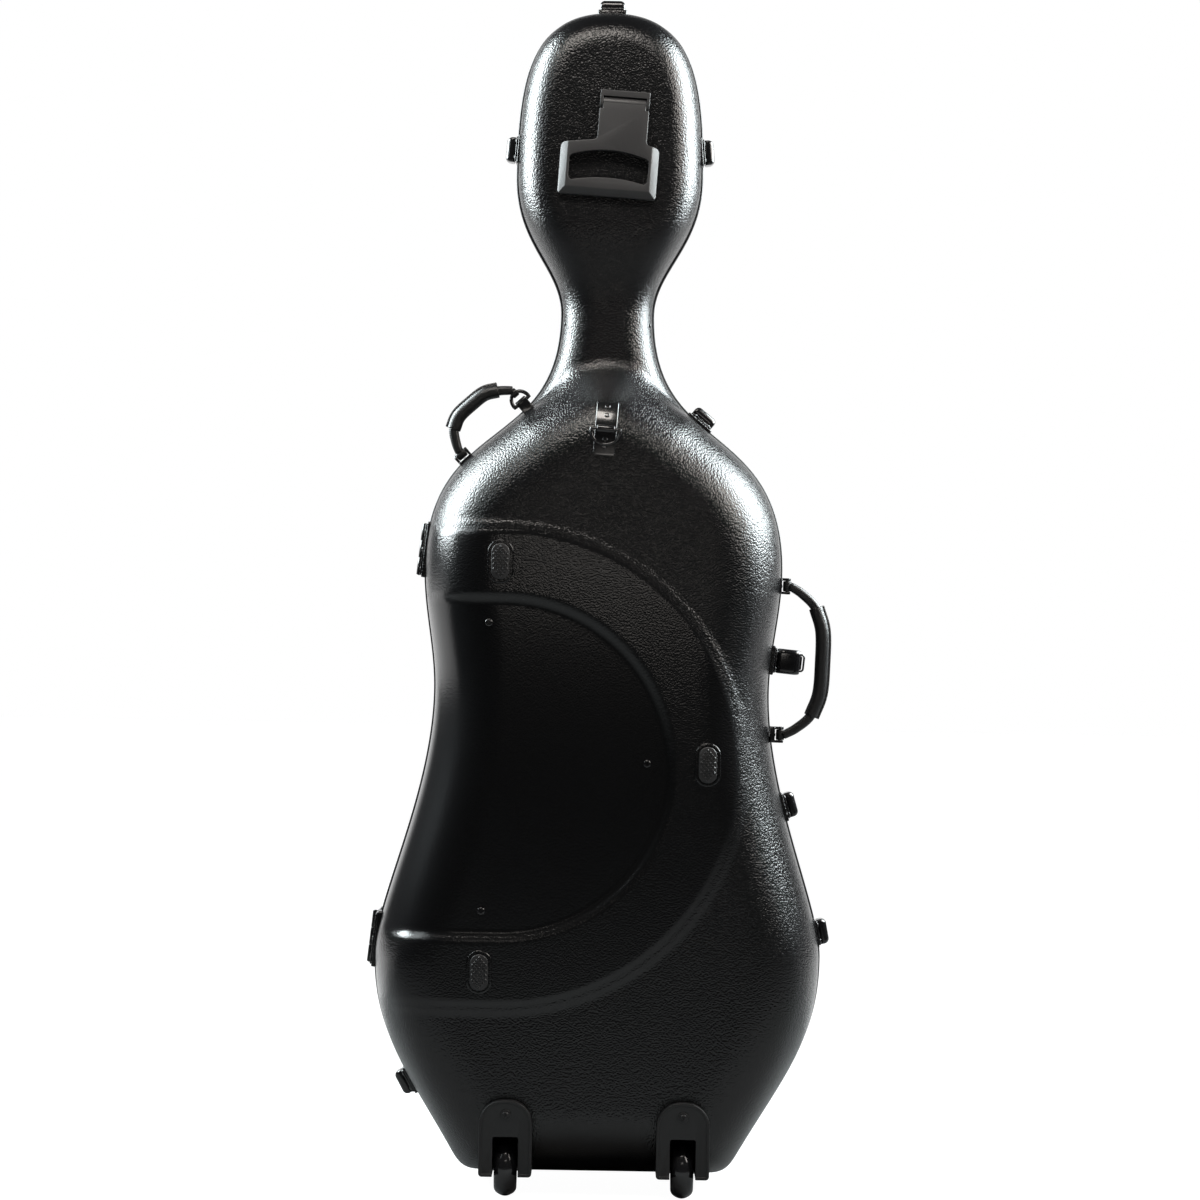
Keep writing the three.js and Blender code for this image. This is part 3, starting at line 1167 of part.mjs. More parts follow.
function addTowHandle() {
  const group = new THREE.Group()
  group.position.set(TOW_OFFSET, -BACK_HEAD_DEPTH, HEAD_LEVEL + TOW_LEVEL_RISE)
  group.rotation.y = rad(TOW_LEAN)
  group.updateMatrixWorld(true)
  const axis = -(TOW_LIFT + TOW_THICKNESS / 2)
  const [near, far] = [-TOW_LIFT, -TOW_LIFT - TOW_THICKNESS]
  const stemTop = -Math.hypot(TOW_BARREL_RADIUS, TOW_BARREL_RADIUS) - RUNNING_GAP
  const w = TOW_STEM_WIDTH / 2
  const neckHalf = w - TOW_EAR - RUNNING_GAP
  const frame = slabXZ(towFrame(), far, near, TOW_BEVEL)
  const stem = block(-w, w, far, near, -TOW_STEM_LENGTH - TOW_BEVEL * 2, stemTop)
  const neck = block(-neckHalf, neckHalf, far, near, -TOW_STEM_LENGTH / 2, 0)
  const barrel = rod(TOW_BARREL_RADIUS, 2 * neckHalf, FOOT_SEGMENTS, 0, axis, 0)
  const bore = rod(TOW_PIN_RADIUS + RUNNING_GAP, TOW_STEM_WIDTH * 2, ROUND_SIDES, 0, axis, 0)
  const handle = frame.add(stem).add(neck).add(barrel).subtract(bore)
  const towHandle = named('tow_handle', 'moulded', geometryOf(handle).translate(0, -axis, 0))
  towHandle.position.y = axis
  const plate = block(-w, w, far, WALL, TOW_BARREL_RADIUS + RUNNING_GAP, TOW_BRACKET_HEIGHT)
  const ear = (x0, x1) => block(x0, x1, far, WALL, -TOW_BARREL_RADIUS, TOW_BRACKET_HEIGHT)
  const pin = rod(TOW_PIN_RADIUS, TOW_STEM_WIDTH - TOW_EAR, ROUND_SIDES, 0, axis, 0)
  const bracket = plate.add(ear(-w, -w + TOW_EAR)).add(ear(w - TOW_EAR, w)).add(pin)
  group.add(named('tow_bracket', 'moulded', seated(bracket, group)), towHandle)
  model.add(group)
}

addHalves()
addRims()
addHinges()
addLatches()
addCradle()
addPads()
addScrews()
addWheels()
addFeet()
addHandles()
addStrapPlate()
addTowHandle()

// The whole case, centred over the ground below the middle of its box
const cello_case = new THREE.Group()
cello_case.add(model)
cello_case.updateMatrixWorld(true)
const bounds = new THREE.Box3().setFromObject(cello_case, true)
const middle = bounds.getCenter(new THREE.Vector3())
model.position.set(-middle.x, -middle.y, -bounds.min.z)
cello_case.updateMatrixWorld(true)

export default cello_case
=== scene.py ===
# %% [markdown]
# # A hard case for a cello, dressed in Blender
#
# The case stands upright on two wheels and two front feet, and its back faces us. It is a shell of
# black pebble-grained plastic in two halves, closed by draw latches, with a raised crescent on the
# back that carries three rubber rest pads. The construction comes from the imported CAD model, which
# is loaded as a fixed frame: every piece made here sits where that model says, and rides on one of
# its bodies. Each cell below explains a piece first and then makes it.

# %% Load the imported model
import json
import math

import bpy
import numpy as np
from mathutils import Matrix, Vector


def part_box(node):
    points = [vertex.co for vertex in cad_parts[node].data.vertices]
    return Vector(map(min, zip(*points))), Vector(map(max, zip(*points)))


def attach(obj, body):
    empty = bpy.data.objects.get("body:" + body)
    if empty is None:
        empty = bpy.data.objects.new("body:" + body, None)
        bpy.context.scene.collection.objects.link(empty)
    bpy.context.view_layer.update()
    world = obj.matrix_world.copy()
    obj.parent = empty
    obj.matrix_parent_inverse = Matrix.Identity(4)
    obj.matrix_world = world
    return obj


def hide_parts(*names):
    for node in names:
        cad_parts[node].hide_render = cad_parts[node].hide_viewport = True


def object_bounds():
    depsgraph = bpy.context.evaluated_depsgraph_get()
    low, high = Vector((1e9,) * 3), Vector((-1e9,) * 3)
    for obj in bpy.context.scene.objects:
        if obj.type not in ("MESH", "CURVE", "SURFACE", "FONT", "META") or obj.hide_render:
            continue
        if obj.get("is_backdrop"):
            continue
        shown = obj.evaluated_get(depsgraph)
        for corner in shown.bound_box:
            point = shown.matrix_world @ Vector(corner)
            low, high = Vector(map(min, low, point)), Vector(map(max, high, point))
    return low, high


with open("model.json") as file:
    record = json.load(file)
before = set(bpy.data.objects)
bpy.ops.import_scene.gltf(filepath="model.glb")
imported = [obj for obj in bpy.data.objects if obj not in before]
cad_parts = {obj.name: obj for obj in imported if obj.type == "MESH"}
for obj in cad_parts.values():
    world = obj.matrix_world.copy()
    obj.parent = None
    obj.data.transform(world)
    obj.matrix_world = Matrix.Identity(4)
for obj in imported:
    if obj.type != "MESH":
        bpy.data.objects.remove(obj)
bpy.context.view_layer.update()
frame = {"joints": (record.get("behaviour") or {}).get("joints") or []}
joints = {joint["name"]: joint for joint in frame["joints"]}

# %% [markdown]
# The pieces are drawn in millimetres, because that is how hardware is measured, each in a frame of
# its own: the whole case, a point on its outline, or the two ends of a handle. A matrix then carries
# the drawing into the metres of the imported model. The case is drawn with its seam in the plane
# y = 0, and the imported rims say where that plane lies.

# %% Frames
MM = 0.001
SEAM_GAP = 0.6
CENTRE_X = (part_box("neck_cradle")[0].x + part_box("neck_cradle")[1].x) / 2
SEAM_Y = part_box("lid_rim")[0].y - SEAM_GAP / 2 * MM
CASE = Matrix.Translation((CENTRE_X, SEAM_Y, 0)) @ Matrix.Scale(MM, 4)


def axes_frame(origin, x_axis):
    """A frame in millimetres whose x runs along an axis, whose y is the model's and whose z points out."""
    x_axis = Vector(x_axis).normalized()
    y_axis = Vector((0, 1, 0))
    z_axis = x_axis.cross(y_axis)
    turn = Matrix((x_axis, y_axis, z_axis)).transposed().to_4x4()
    return Matrix.Translation(origin) @ turn @ Matrix.Scale(MM, 4)


print("seam plane at y", round(SEAM_Y, 5), "and middle of the case at x", round(CENTRE_X, 5))

# %% [markdown]
# Blender's operators act on all that is selected and on the active object. These helpers select a
# piece, open it, pick its faces, and add and apply modifiers, so that the cells below read like the
# steps of the work.

# %% Helpers for selecting and shaping
def clean_slate():
    """Leaves edit mode and selects nothing, because operators act on all that is selected."""
    if bpy.context.mode != "OBJECT":
        bpy.ops.object.mode_set(mode="OBJECT")
    bpy.ops.object.select_all(action="DESELECT")


def take(name):
    """Names the piece that the last primitive made."""
    piece = bpy.context.object
    piece.name = name
    piece.data.name = name
    return piece


def hold(*pieces):
    """Selects some pieces, the first as the active one."""
    clean_slate()
    for piece in pieces:
        piece.select_set(True)
    bpy.context.view_layer.objects.active = pieces[0]
    return pieces[0]


def edit(piece, mode="FACE"):
    """Opens a piece in edit mode, where vertices, edges or faces are selected."""
    hold(piece)
    bpy.ops.object.mode_set(mode="EDIT")
    bpy.ops.mesh.select_mode(type=mode)


def pick_faces(piece, test):
    """Selects in edit mode the faces whose centre and normal pass a test."""
    bpy.ops.object.mode_set(mode="OBJECT")
    mesh = piece.data
    mesh.vertices.foreach_set("select", [False] * len(mesh.vertices))
    mesh.edges.foreach_set("select", [False] * len(mesh.edges))
    picked = [test(face.center, face.normal) for face in mesh.polygons]
    mesh.polygons.foreach_set("select", picked)
    bpy.ops.object.mode_set(mode="EDIT")
    return sum(picked)


def modify(piece, kind, **settings):
    """Adds a modifier with its settings and applies it."""
    hold(piece)
    modifier = piece.modifiers.new(kind.lower(), kind)
    for key, value in settings.items():
        setattr(modifier, key, value)
    bpy.ops.object.modifier_apply(modifier=modifier.name)
    return piece


def soften(piece, width, segments=3, angle=40):
    """Rounds the edges that are sharper than an angle in degrees."""
    limit = math.radians(angle)
    return modify(piece, "BEVEL", width=width, segments=segments, limit_method="ANGLE", angle_limit=limit)


# %% [markdown]
# A drawing is finished in three steps: its parts are joined, it is carried to its place and smoothed,
# and it gets its body and its material. What repeats is copied.

# %% Helpers for finishing a piece
def join(*pieces):
    """Makes some pieces one mesh and keeps the first one's name."""
    hold(*pieces)
    bpy.ops.object.join()
    return pieces[0]


def settle(piece, matrix, smooth=35):
    """Carries a finished drawing into the model's frame, so that its place is in its mesh."""
    clean_slate()
    piece.data.transform(matrix @ piece.matrix_world)
    piece.matrix_world = Matrix.Identity(4)
    if matrix.determinant() < 0:
        piece.data.flip_normals()
    hold(piece)
    bpy.ops.object.shade_smooth_by_angle(angle=math.radians(smooth))
    return piece


def finish_piece(piece, body, slot, material, *nodes):
    """Gives a piece its body and its material and hides the CAD nodes it stands for; the slot is not used."""
    piece.data.materials.clear()
    piece.data.materials.append(material)
    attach(piece, body)
    if nodes:
        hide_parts(*nodes)
    print(f"{piece.name}: {len(piece.data.polygons)} faces of {material.name}, on {body}")
    return piece


def copy_of(piece, name):
    """A copy with its own mesh."""
    twin = piece.copy()
    twin.data = piece.data.copy()
    twin.name = name
    twin.data.name = name
    bpy.context.collection.objects.link(twin)
    return twin


# %% [markdown]
# The photograph was taken from about four metres away, square to the back and a little below half
# the height of the case, with the case leaning one degree to the right. The camera stands there.

# %% Camera
CAMERA_DISTANCE = 4.2
CAMERA_HEIGHT = 0.677
CAMERA_OFFSET = -0.0034
CAMERA_ROLL = math.radians(0.95)
CAMERA_LENS = 107.7

clean_slate()
bpy.ops.object.camera_add(location=(CENTRE_X + CAMERA_OFFSET, SEAM_Y - CAMERA_DISTANCE, CAMERA_HEIGHT))
camera = bpy.context.object
camera.name = "camera"
level_view = Matrix.Rotation(math.radians(90), 3, "X")
camera.rotation_euler = (level_view @ Matrix.Rotation(CAMERA_ROLL, 3, "Z")).to_euler()
camera.data.lens = CAMERA_LENS
bpy.context.scene.camera = camera
bpy.context.scene.view_settings.view_transform = "Standard"
print("camera at", tuple(round(value, 3) for value in camera.location))

# %% [markdown]
# A black, slightly glossy object shows its shape almost only by what it mirrors. So the studio is
# two large soft boxes beside and a little behind the case, which draw the bright streaks along its
# rounded sides, two weaker ones further forward, which carry those streaks on towards the middle,
# one high above, which the steps of the crescent mirror, and a small one before the upper body,
# whose reflection lies on the flat above the crescent.

# %% Studio
def soft_box(name, place, target, width, height, power, tint):
    """A rectangular lamp at a place, turned towards a target."""
    clean_slate()
    bpy.ops.object.light_add(type="AREA", location=place)
    lamp = bpy.context.object
    lamp.name = name
    lamp.data.shape = "RECTANGLE"
    lamp.data.size = width
    lamp.data.size_y = height
    lamp.data.energy = power
    lamp.data.color = tint
    aim = Vector(target) - Vector(place)
    lamp.rotation_euler = aim.to_track_quat("-Z", "Y").to_euler()
    return lamp


COOL, WARM = (0.9, 0.98, 1.0), (1.0, 0.94, 0.88)
for name, side in (("left", -1), ("right", 1)):
    soft_box(f"{name}_box", (side * 1.4, 0.4, 1.6), (0, 0.2, 1.2), 1.1, 1.3, 120, COOL)
soft_box("left_front_box", (-1.5, -0.7, 1.7), (-0.1, 0, 0.9), 0.7, 0.7, 7, COOL)
soft_box("right_front_box", (1.5, -0.7, 1.75), (0.1, 0, 0.8), 1.0, 1.0, 30, WARM)
soft_box("top_front_box", (-0.25, -0.75, 1.95), (-0.1, 0, 0.4), 0.9, 0.3, 11, WARM)
soft_box("near_box", (0.05, -1.2, 0.8), (0.03, 0, 0.77), 0.5, 0.1, 0.45, WARM)
print("lamps", len(bpy.data.lights))

# %% [markdown]
# A material is a small tree of nodes. Four helpers build all the trees below: one sets a socket or
# links it, one adds a node with its values, one adds a Math node, and one starts a new material.

# %% Helpers for materials
def connect(tree, value, socket):
    """Sets a socket to a number or a colour, or links it to the output of another node."""
    if isinstance(value, bpy.types.NodeSocket):
        tree.links.new(value, socket)
    else:
        socket.default_value = value


def add_node(tree, kind, values, **settings):
    """A shader node with its settings; its values are keyed by the names or numbers of its sockets."""
    made = tree.nodes.new(f"ShaderNode{kind}")
    for key, setting in settings.items():
        setattr(made, key, setting)
    for key, value in values.items():
        connect(tree, value, made.inputs[key])
    return made


def maths(tree, operation, *values):
    """One Math node: each value is a number or the output of another node."""
    return add_node(tree, "Math", dict(enumerate(values)), operation=operation).outputs[0]


def plain_material(name, colour, roughness, metallic=0.0, **sockets):
    """A Principled material; the keys are socket names with underscores for spaces."""
    made = bpy.data.materials.new(name)
    made.use_nodes = True
    shader = made.node_tree.nodes["Principled BSDF"]
    shader.inputs["Base Color"].default_value = (*colour, 1)
    shader.inputs["Roughness"].default_value = roughness
    shader.inputs["Metallic"].default_value = metallic
    for key, value in sockets.items():
        shader.inputs[key.replace("_", " ")].default_value = value
    return made


print("materials so far", len(bpy.data.materials))

# %% [markdown]
# White paper runs under and behind the case. The floor is a grey sheet that takes the shadow and the
# lamps' light, and it glows white only where the camera sees it, or where a reflection meets the
# part of it behind the case. The world does the same above the horizon.

# %% Floor and white paper behind
BEHIND_LOW, BEHIND_HIGH = 0.85, 0.98
FLOOR_SIZE, FLOOR_GREY, FLOOR_GLOW = 30, 0.15, 0.98
WORLD_LIGHT = 0.05


def paper_seen(tree, behind):
    """1 for the camera, and for reflections and clear things where the paper is behind the case."""
    path = add_node(tree, "LightPath", {})
    values = {"Value": behind, "From Min": BEHIND_LOW, "From Max": BEHIND_HIGH}
    spread = add_node(tree, "MapRange", values, interpolation_type="SMOOTHSTEP")
    mirrored = maths(tree, "MAXIMUM", path.outputs["Is Glossy Ray"], path.outputs["Is Transmission Ray"])
    mirrored = maths(tree, "MULTIPLY", mirrored, spread.outputs["Result"])
    return maths(tree, "MAXIMUM", path.outputs["Is Camera Ray"], mirrored)


clean_slate()
bpy.ops.mesh.primitive_plane_add(size=FLOOR_SIZE, location=(0, 0, 0))
floor = take("floor")
paper = plain_material("white_paper", (FLOOR_GREY, FLOOR_GREY, FLOOR_GREY), 0.9)
tree = paper.node_tree
place = add_node(tree, "NewGeometry", {})
along = add_node(tree, "SeparateXYZ", {"Vector": place.outputs["Position"]})
shine = maths(tree, "MULTIPLY", paper_seen(tree, along.outputs["Y"]), FLOOR_GLOW)
glow = add_node(tree, "Emission", {"Strength": shine})
sheet = tree.nodes["Principled BSDF"].outputs["BSDF"]
both = add_node(tree, "AddShader", {0: sheet, 1: glow.outputs["Emission"]})
tree.links.new(both.outputs["Shader"], tree.nodes["Material Output"].inputs["Surface"])
floor.data.materials.append(paper)
floor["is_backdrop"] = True

world = bpy.data.worlds.new("white_room")
bpy.context.scene.world = world
world.use_nodes = True
tree = world.node_tree
direction = add_node(tree, "TexCoord", {})
along = add_node(tree, "SeparateXYZ", {"Vector": direction.outputs["Generated"]})
strength = add_node(tree, "MapRange", {"Value": paper_seen(tree, along.outputs["Y"]), "To Min": WORLD_LIGHT})
background = tree.nodes["Background"]
background.inputs["Color"].default_value = (1, 1, 1, 1)
tree.links.new(strength.outputs["Result"], background.inputs["Strength"])
print("floor of", FLOOR_SIZE, "m, world", world.name)

# %% [markdown]
# ## The outline
#
# A moulded shell has no straight lines to extrude, so its outline is drawn first, as the maker's
# template would be: half widths and levels at the bouts, the waist, the neck and the head, joined by
# Bezier curves that leave each of those places straight up. The same numbers drive the CAD model.

# %% Outline of the right half, in millimetres
BOTTOM, CORNER, LOWER_BOUT = (132, 16), (168, 41), (257.5, 264)
WAIST, UPPER_BOUT, NECK, HEAD, CROWN = (193, 571), (206.5, 712), (52, 1010), (106.5, 1169), (0, 1359)
SPLAY = 0.585


def rise_from(start, end, start_share, end_share):
    """A curve that leaves one place and reaches the next straight up."""
    rise = end[1] - start[1]
    return [start, (start[0], start[1] + start_share * rise), (end[0], end[1] - end_share * rise), end]


def straight(start, end):
    """A straight line, given as a Bezier curve."""
    return [start, *[[a + (b - a) * share for a, b in zip(start, end)] for share in (1 / 3, 2 / 3)], end]


def splayed(place, length):
    """A place further along the slanted lower side."""
    return (place[0] + SPLAY * length, place[1] + length)


corner_rise, bout_rise = CORNER[1] - BOTTOM[1], LOWER_BOUT[1] - CORNER[1]
outline_curves = [
    straight((0, BOTTOM[1]), BOTTOM),
    [
        BOTTOM, (BOTTOM[0] + 0.61 * (CORNER[0] - BOTTOM[0]), BOTTOM[1]),
        splayed(CORNER, -0.55 * corner_rise), CORNER,
    ],
    [
        CORNER, splayed(CORNER, 0.406 * bout_rise),
        (LOWER_BOUT[0], LOWER_BOUT[1] - 0.413 * bout_rise), LOWER_BOUT,
    ],
    rise_from(LOWER_BOUT, WAIST, 0.195, 0.397),
    rise_from(WAIST, UPPER_BOUT, 0.35, 0.35),
    rise_from(UPPER_BOUT, NECK, 0.604, 0.564),
    rise_from(NECK, HEAD, 0.34, 0.49),
    [HEAD, (HEAD[0], HEAD[1] + 0.63 * (CROWN[1] - HEAD[1])), (0.864 * HEAD[0], CROWN[1]), CROWN],
]
print("curves in half the outline", len(outline_curves))

# %% [markdown]
# The curves are walked along in even steps, and each point also gets the direction that leads
# straight out of the case there. The left half is the mirror image of the right one.

# %% Even points round the case
def bezier(control, steps):
    """Points along a Bezier curve with four control points."""
    a, b, c, d = (np.array(point, float) for point in control)
    t = np.linspace(0, 1, steps)[:, None]
    return (1 - t) ** 3 * a + 3 * (1 - t) ** 2 * t * b + 3 * (1 - t) * t**2 * c + t**3 * d


def outline(half_count):
    """Even points round the case with their outward normals, from the middle of the bottom."""
    dense = np.concatenate([bezier(curve, 300)[:-1] for curve in outline_curves] + [[CROWN]])
    length = np.concatenate([[0], np.cumsum(np.hypot(*np.diff(dense, axis=0).T))])
    along = np.linspace(0, length[-1], half_count + 1)
    x, z = (np.interp(along, length, dense[:, i]) for i in (0, 1))
    tangent = np.gradient(dense, length, axis=0)
    tx, tz = (np.interp(along, length, tangent[:, i]) for i in (0, 1))
    size = np.hypot(tx, tz)
    nx, nz = tz / size, -tx / size
    nx[[0, -1]], nz[[0, -1]], x[[0, -1]] = 0, (-1, 1), 0
    left = slice(-2, 0, -1)
    return {
        "x": np.concatenate([x, -x[left]]), "z": np.concatenate([z, z[left]]),
        "nx": np.concatenate([nx, -nx[left]]), "nz": np.concatenate([nz, nz[left]]),
    }


mould = outline(480)
print("points round the outline", len(mould["x"]))

# %% [markdown]
# ## How deep the shell is at each place
#
# Vacuum-formed plastic keeps soft edges: the wall leaves the seam almost upright and rounds over into
# a flat back. That is a superellipse of the distance to the outline. The neck and head are one
# shallow shell of this kind, and the body is a deeper one that closes in an arch below the neck.
# The two are blended over a few millimetres, as the mould's fillet does.

# %% Distance to an outline
GAP, WALL, LINING, EDGE = 0.3, 3.5, 3.0, 9.6
BACK = {"sign": -1, "body": 150, "neck": 62, "head": 85}
LID = {"sign": 1, "body": 128, "neck": 54, "head": 72}
BODY_ROUNDING, NECK_ROUNDING, ROUNDING_POWER = 90, 45, 2.5
CREST_LEVEL, CREST_ARCH = 931, 102
ARCH_TOP, ARCH_ROUND, ARCH_SLOPE = 937, 45, 0.8
FILLET = 9.0
FILLET_START = (0, 25)
RAMP = 44.0
RAMP_LOW, RAMP_HIGH, RAMP_SIDE = (-95, -45), (30, 80), (1, 22)
RAMP_WEIGHTS = ((-1, 1), (-0.66, 2), (-0.33, 3), (0, 3), (0.33, 3), (0.66, 2), (1, 1))
CHUNK = 4000


def distance_inside(loop, x, z):
    """How far points lie inside a closed loop of points; outside it the distance is negative."""
    px, pz = loop
    nearest = np.empty(len(x), int)
    half_square = (px**2 + pz**2) / 2
    for start in range(0, len(x), CHUNK):
        part = slice(start, start + CHUNK)
        nearest[part] = np.argmin(half_square - np.outer(x[part], px) - np.outer(z[part], pz), axis=1)
    best = np.full(len(x), np.inf)
    inside = np.zeros(len(x), bool)
    for first, second in ((nearest - 1, nearest), (nearest, (nearest + 1) % len(px))):
        ax, az = px[first], pz[first]
        dx, dz = px[second] - ax, pz[second] - az
        share = np.clip(((x - ax) * dx + (z - az) * dz) / np.maximum(dx**2 + dz**2, 1e-12), 0, 1)
        rx, rz = x - ax - share * dx, z - az - share * dz
        distance = np.hypot(rx, rz)
        closer = distance < best
        best = np.where(closer, distance, best)
        inside = np.where(closer, dx * rz - dz * rx >= 0, inside)
    return np.where(inside, best, -best)


print("wall and lining", WALL, LINING, "mm; deepest point of back and lid", BACK["body"], LID["body"], "mm")

# %% [markdown]
# The deep body closes below the neck in an arch with a rounded peak. Above the arch the mould falls
# away in a soft ramp, which is the average of the depths a little above and below each place.

# %% Depth at each place
def arch_level(x):
    """The line in which the deep body closes below the neck: a rounded peak with straight flanks."""
    return ARCH_TOP - np.hypot(ARCH_ROUND, ARCH_SLOPE * x) + ARCH_ROUND


def deep_loop(loop):
    """The outline up to where the arch meets it, and the arch."""
    half = len(loop["x"]) // 2 + 1
    side_x, side_z = loop["x"][:half], loop["z"][:half]
    below = (side_z < UPPER_BOUT[1]) | (side_z < np.minimum(arch_level(side_x), ARCH_TOP))
    low_x, low_z = side_x[below], side_z[below]
    arch_x = np.linspace(low_x[-1], 0, 200)[1:]
    x, z = np.concatenate([low_x, arch_x]), np.concatenate([low_z, arch_level(arch_x)])
    return np.concatenate([x, -x[-2:0:-1]]), np.concatenate([z, z[-2:0:-1]])


def rounded(distance, rounding, depth):
    """A superellipse: nothing at the outline, the full depth from the rounding inwards."""
    share = np.clip(distance / rounding, 0, 1)
    return depth * (1 - (1 - share) ** ROUNDING_POWER) ** (1 / ROUNDING_POWER)


def smoothstep(value, low, high):
    """0 below a range and 1 above it, with a soft change between."""
    share = np.clip((value - low) / (high - low), 0, 1)
    return share * share * (3 - 2 * share)


def raw_depth(half, loops, x, z, inset):
    """The deeper of the two moulds at each point, blended where they meet."""
    to_outline, to_deep = (distance_inside(loop, x, z) for loop in loops)
    head_share = smoothstep(z, NECK[1], (NECK[1] + 2 * HEAD[1]) / 3)
    slim = half["neck"] + (half["head"] - half["neck"]) * head_share
    slim_rise = rounded(to_outline - inset, NECK_ROUNDING - inset, slim - EDGE - inset)
    deep_rise = rounded(to_deep - inset, BODY_ROUNDING - inset, half["body"] - EDGE - inset)
    blend = np.maximum(FILLET - np.abs(slim_rise - deep_rise), 0) / FILLET
    blend = blend * smoothstep(to_outline, *FILLET_START)
    return EDGE + np.maximum(slim_rise, deep_rise) + blend**2 * FILLET / 4, to_outline


def depth_at(half, loop, x, z, inset=0.0):
    """Depth of a half's surface, moved in by an inset, and the distance to the outline."""
    loops = ((loop["x"], loop["z"]), deep_loop(loop))
    depth, to_outline = raw_depth(half, loops, x, z, inset)
    above = z - ARCH_TOP
    softness = smoothstep(above, *RAMP_LOW) * (1 - smoothstep(above, *RAMP_HIGH))
    softness = RAMP / 2 * softness * smoothstep(to_outline, *RAMP_SIDE)
    near = softness > 0.01
    if near.any():
        layers = [
            weight * raw_depth(half, loops, x[near], z[near] + share * softness[near], inset)[0]
            for share, weight in RAMP_WEIGHTS
        ]
        depth[near] = sum(layers) / sum(weight for _, weight in RAMP_WEIGHTS)
    return depth, to_outline


middle_depths = depth_at(BACK, mould, np.zeros(3), np.array([LOWER_BOUT[1], NECK[1], HEAD[1]], float))[0]
print("depth of the back at the lower bout, neck and head", middle_depths.round(1))

# %% [markdown]
# ## The crescent
#
# The raised band curves from the left edge round the middle of the back and to the left edge again.
# Its inner edge drops in one soft step. Its outer edge drops in two, with a narrow groove between
# them, which the photograph shows as a dark line between two bright ones. It is turned from a
# profile like a bowl's rim, and fades out where it meets the rounded side.

# %% Profile of the crescent
CRESCENT_CENTRE = (-111, WAIST[1] - 84.5)
CRESCENT_INNER, CRESCENT_OUTER, CRESCENT_HEIGHT = 197.5, 267, 5.0
CRESCENT_REACH = 25
crescent_profile = [
    (CRESCENT_INNER - 12, 0.0), (CRESCENT_INNER, 1.0), (CRESCENT_OUTER - 2, 1.0), (CRESCENT_OUTER + 3, 0.6),
    (CRESCENT_OUTER + 4.5, 0.54), (CRESCENT_OUTER + 6, 0.6), (CRESCENT_OUTER + 15, 0.0),
]


def from_crescent(x, z):
    """Distance from the crescent's centre, or from its level where the ends run straight to the left."""
    dx, dz = np.maximum(x - CRESCENT_CENTRE[0], 0), z - CRESCENT_CENTRE[1]
    return dx, dz, np.hypot(dx, dz)


def crescent_relief(x, z, to_outline):
    """How far the crescent raises the back at each point."""
    radius = from_crescent(x, z)[2]
    height = np.zeros(len(radius))
    for (r0, h0), (r1, h1) in zip(crescent_profile, crescent_profile[1:]):
        inside = (radius >= r0) & (radius < r1)
        height = np.where(inside, h0 + (h1 - h0) * smoothstep(radius, r0, r1), height)
    return CRESCENT_HEIGHT * height * smoothstep(to_outline, 0, CRESCENT_REACH)


def gathered(x, z, reach=2.0):
    """Draws points in towards the crescent's edges, so that the net has a row of points on each."""
    dx, dz, radius = from_crescent(x, z)
    moved = radius.copy()
    for key, _ in crescent_profile[:-1]:
        off = radius - key
        moved = np.where(np.abs(off) < reach, key + off * np.abs(off) / reach, moved)
    change = moved / np.maximum(radius, 1e-9) - 1
    return x + dx * change, z + dz * change


print("edges of the crescent at radius", [radius for radius, _ in crescent_profile])

# %% [markdown]
# ## The two shells
#
# Each shell is one flat grid, rolled up and drawn over the shape like a net over a mould: one
# direction of the grid runs round the outline, the other runs from the spine of the case out to the
# seam, turns over the edge there and runs back to the spine along the inner wall. Points that meet
# are then merged, which closes the shell. This keeps rows of faces parallel to the seam, where the
# wall is steep, and needs no cutting. The rows lie close together near the seam and wider inside.

# %% Nets over the mould
SPINE_LOW = BOTTOM[1] + 0.4 * (LOWER_BOUT[1] - BOTTOM[1])
SPINE_HIGH = CROWN[1] - 0.42 * (CROWN[1] - HEAD[1])
EDGE_DISTANCES = (0.02, 0.08, 0.2, 0.42, 0.8, 1.4, 2.3, 3.6, 5.4, 7.8, 11, 15, 20, 26)
HALF_WIDTH = 240


def net(name, around, rows):
    """A grid wrapped into a tube: rows of points, each as long as the way round the outline."""
    clean_slate()
    across = len(rows) - 1
    bpy.ops.mesh.primitive_grid_add(x_subdivisions=around, y_subdivisions=across, size=2)
    piece = take(name)
    count = len(piece.data.vertices)
    flat = np.empty(count * 3)
    piece.data.vertices.foreach_get("co", flat)
    flat = flat.reshape(-1, 3)
    i = np.rint((flat[:, 0] + 1) / 2 * around).astype(int) % around
    j = np.rint((flat[:, 1] + 1) / 2 * across).astype(int)
    piece.data.vertices.foreach_set("co", np.stack(rows)[j, i].ravel())
    piece.data.update()
    edit(piece, "VERT")
    bpy.ops.mesh.select_all(action="SELECT")
    bpy.ops.mesh.remove_doubles(threshold=1e-4)
    bpy.ops.mesh.normals_make_consistent(inside=False)
    bpy.ops.object.mode_set(mode="OBJECT")
    return piece


print("spine from level", round(SPINE_LOW, 1), "to", round(SPINE_HIGH, 1))

# %% [markdown]
# A row of the net is the outline, drawn in towards the spine by a share and laid on the mould. The
# rows of the outer wall come first, then those of the inner wall.

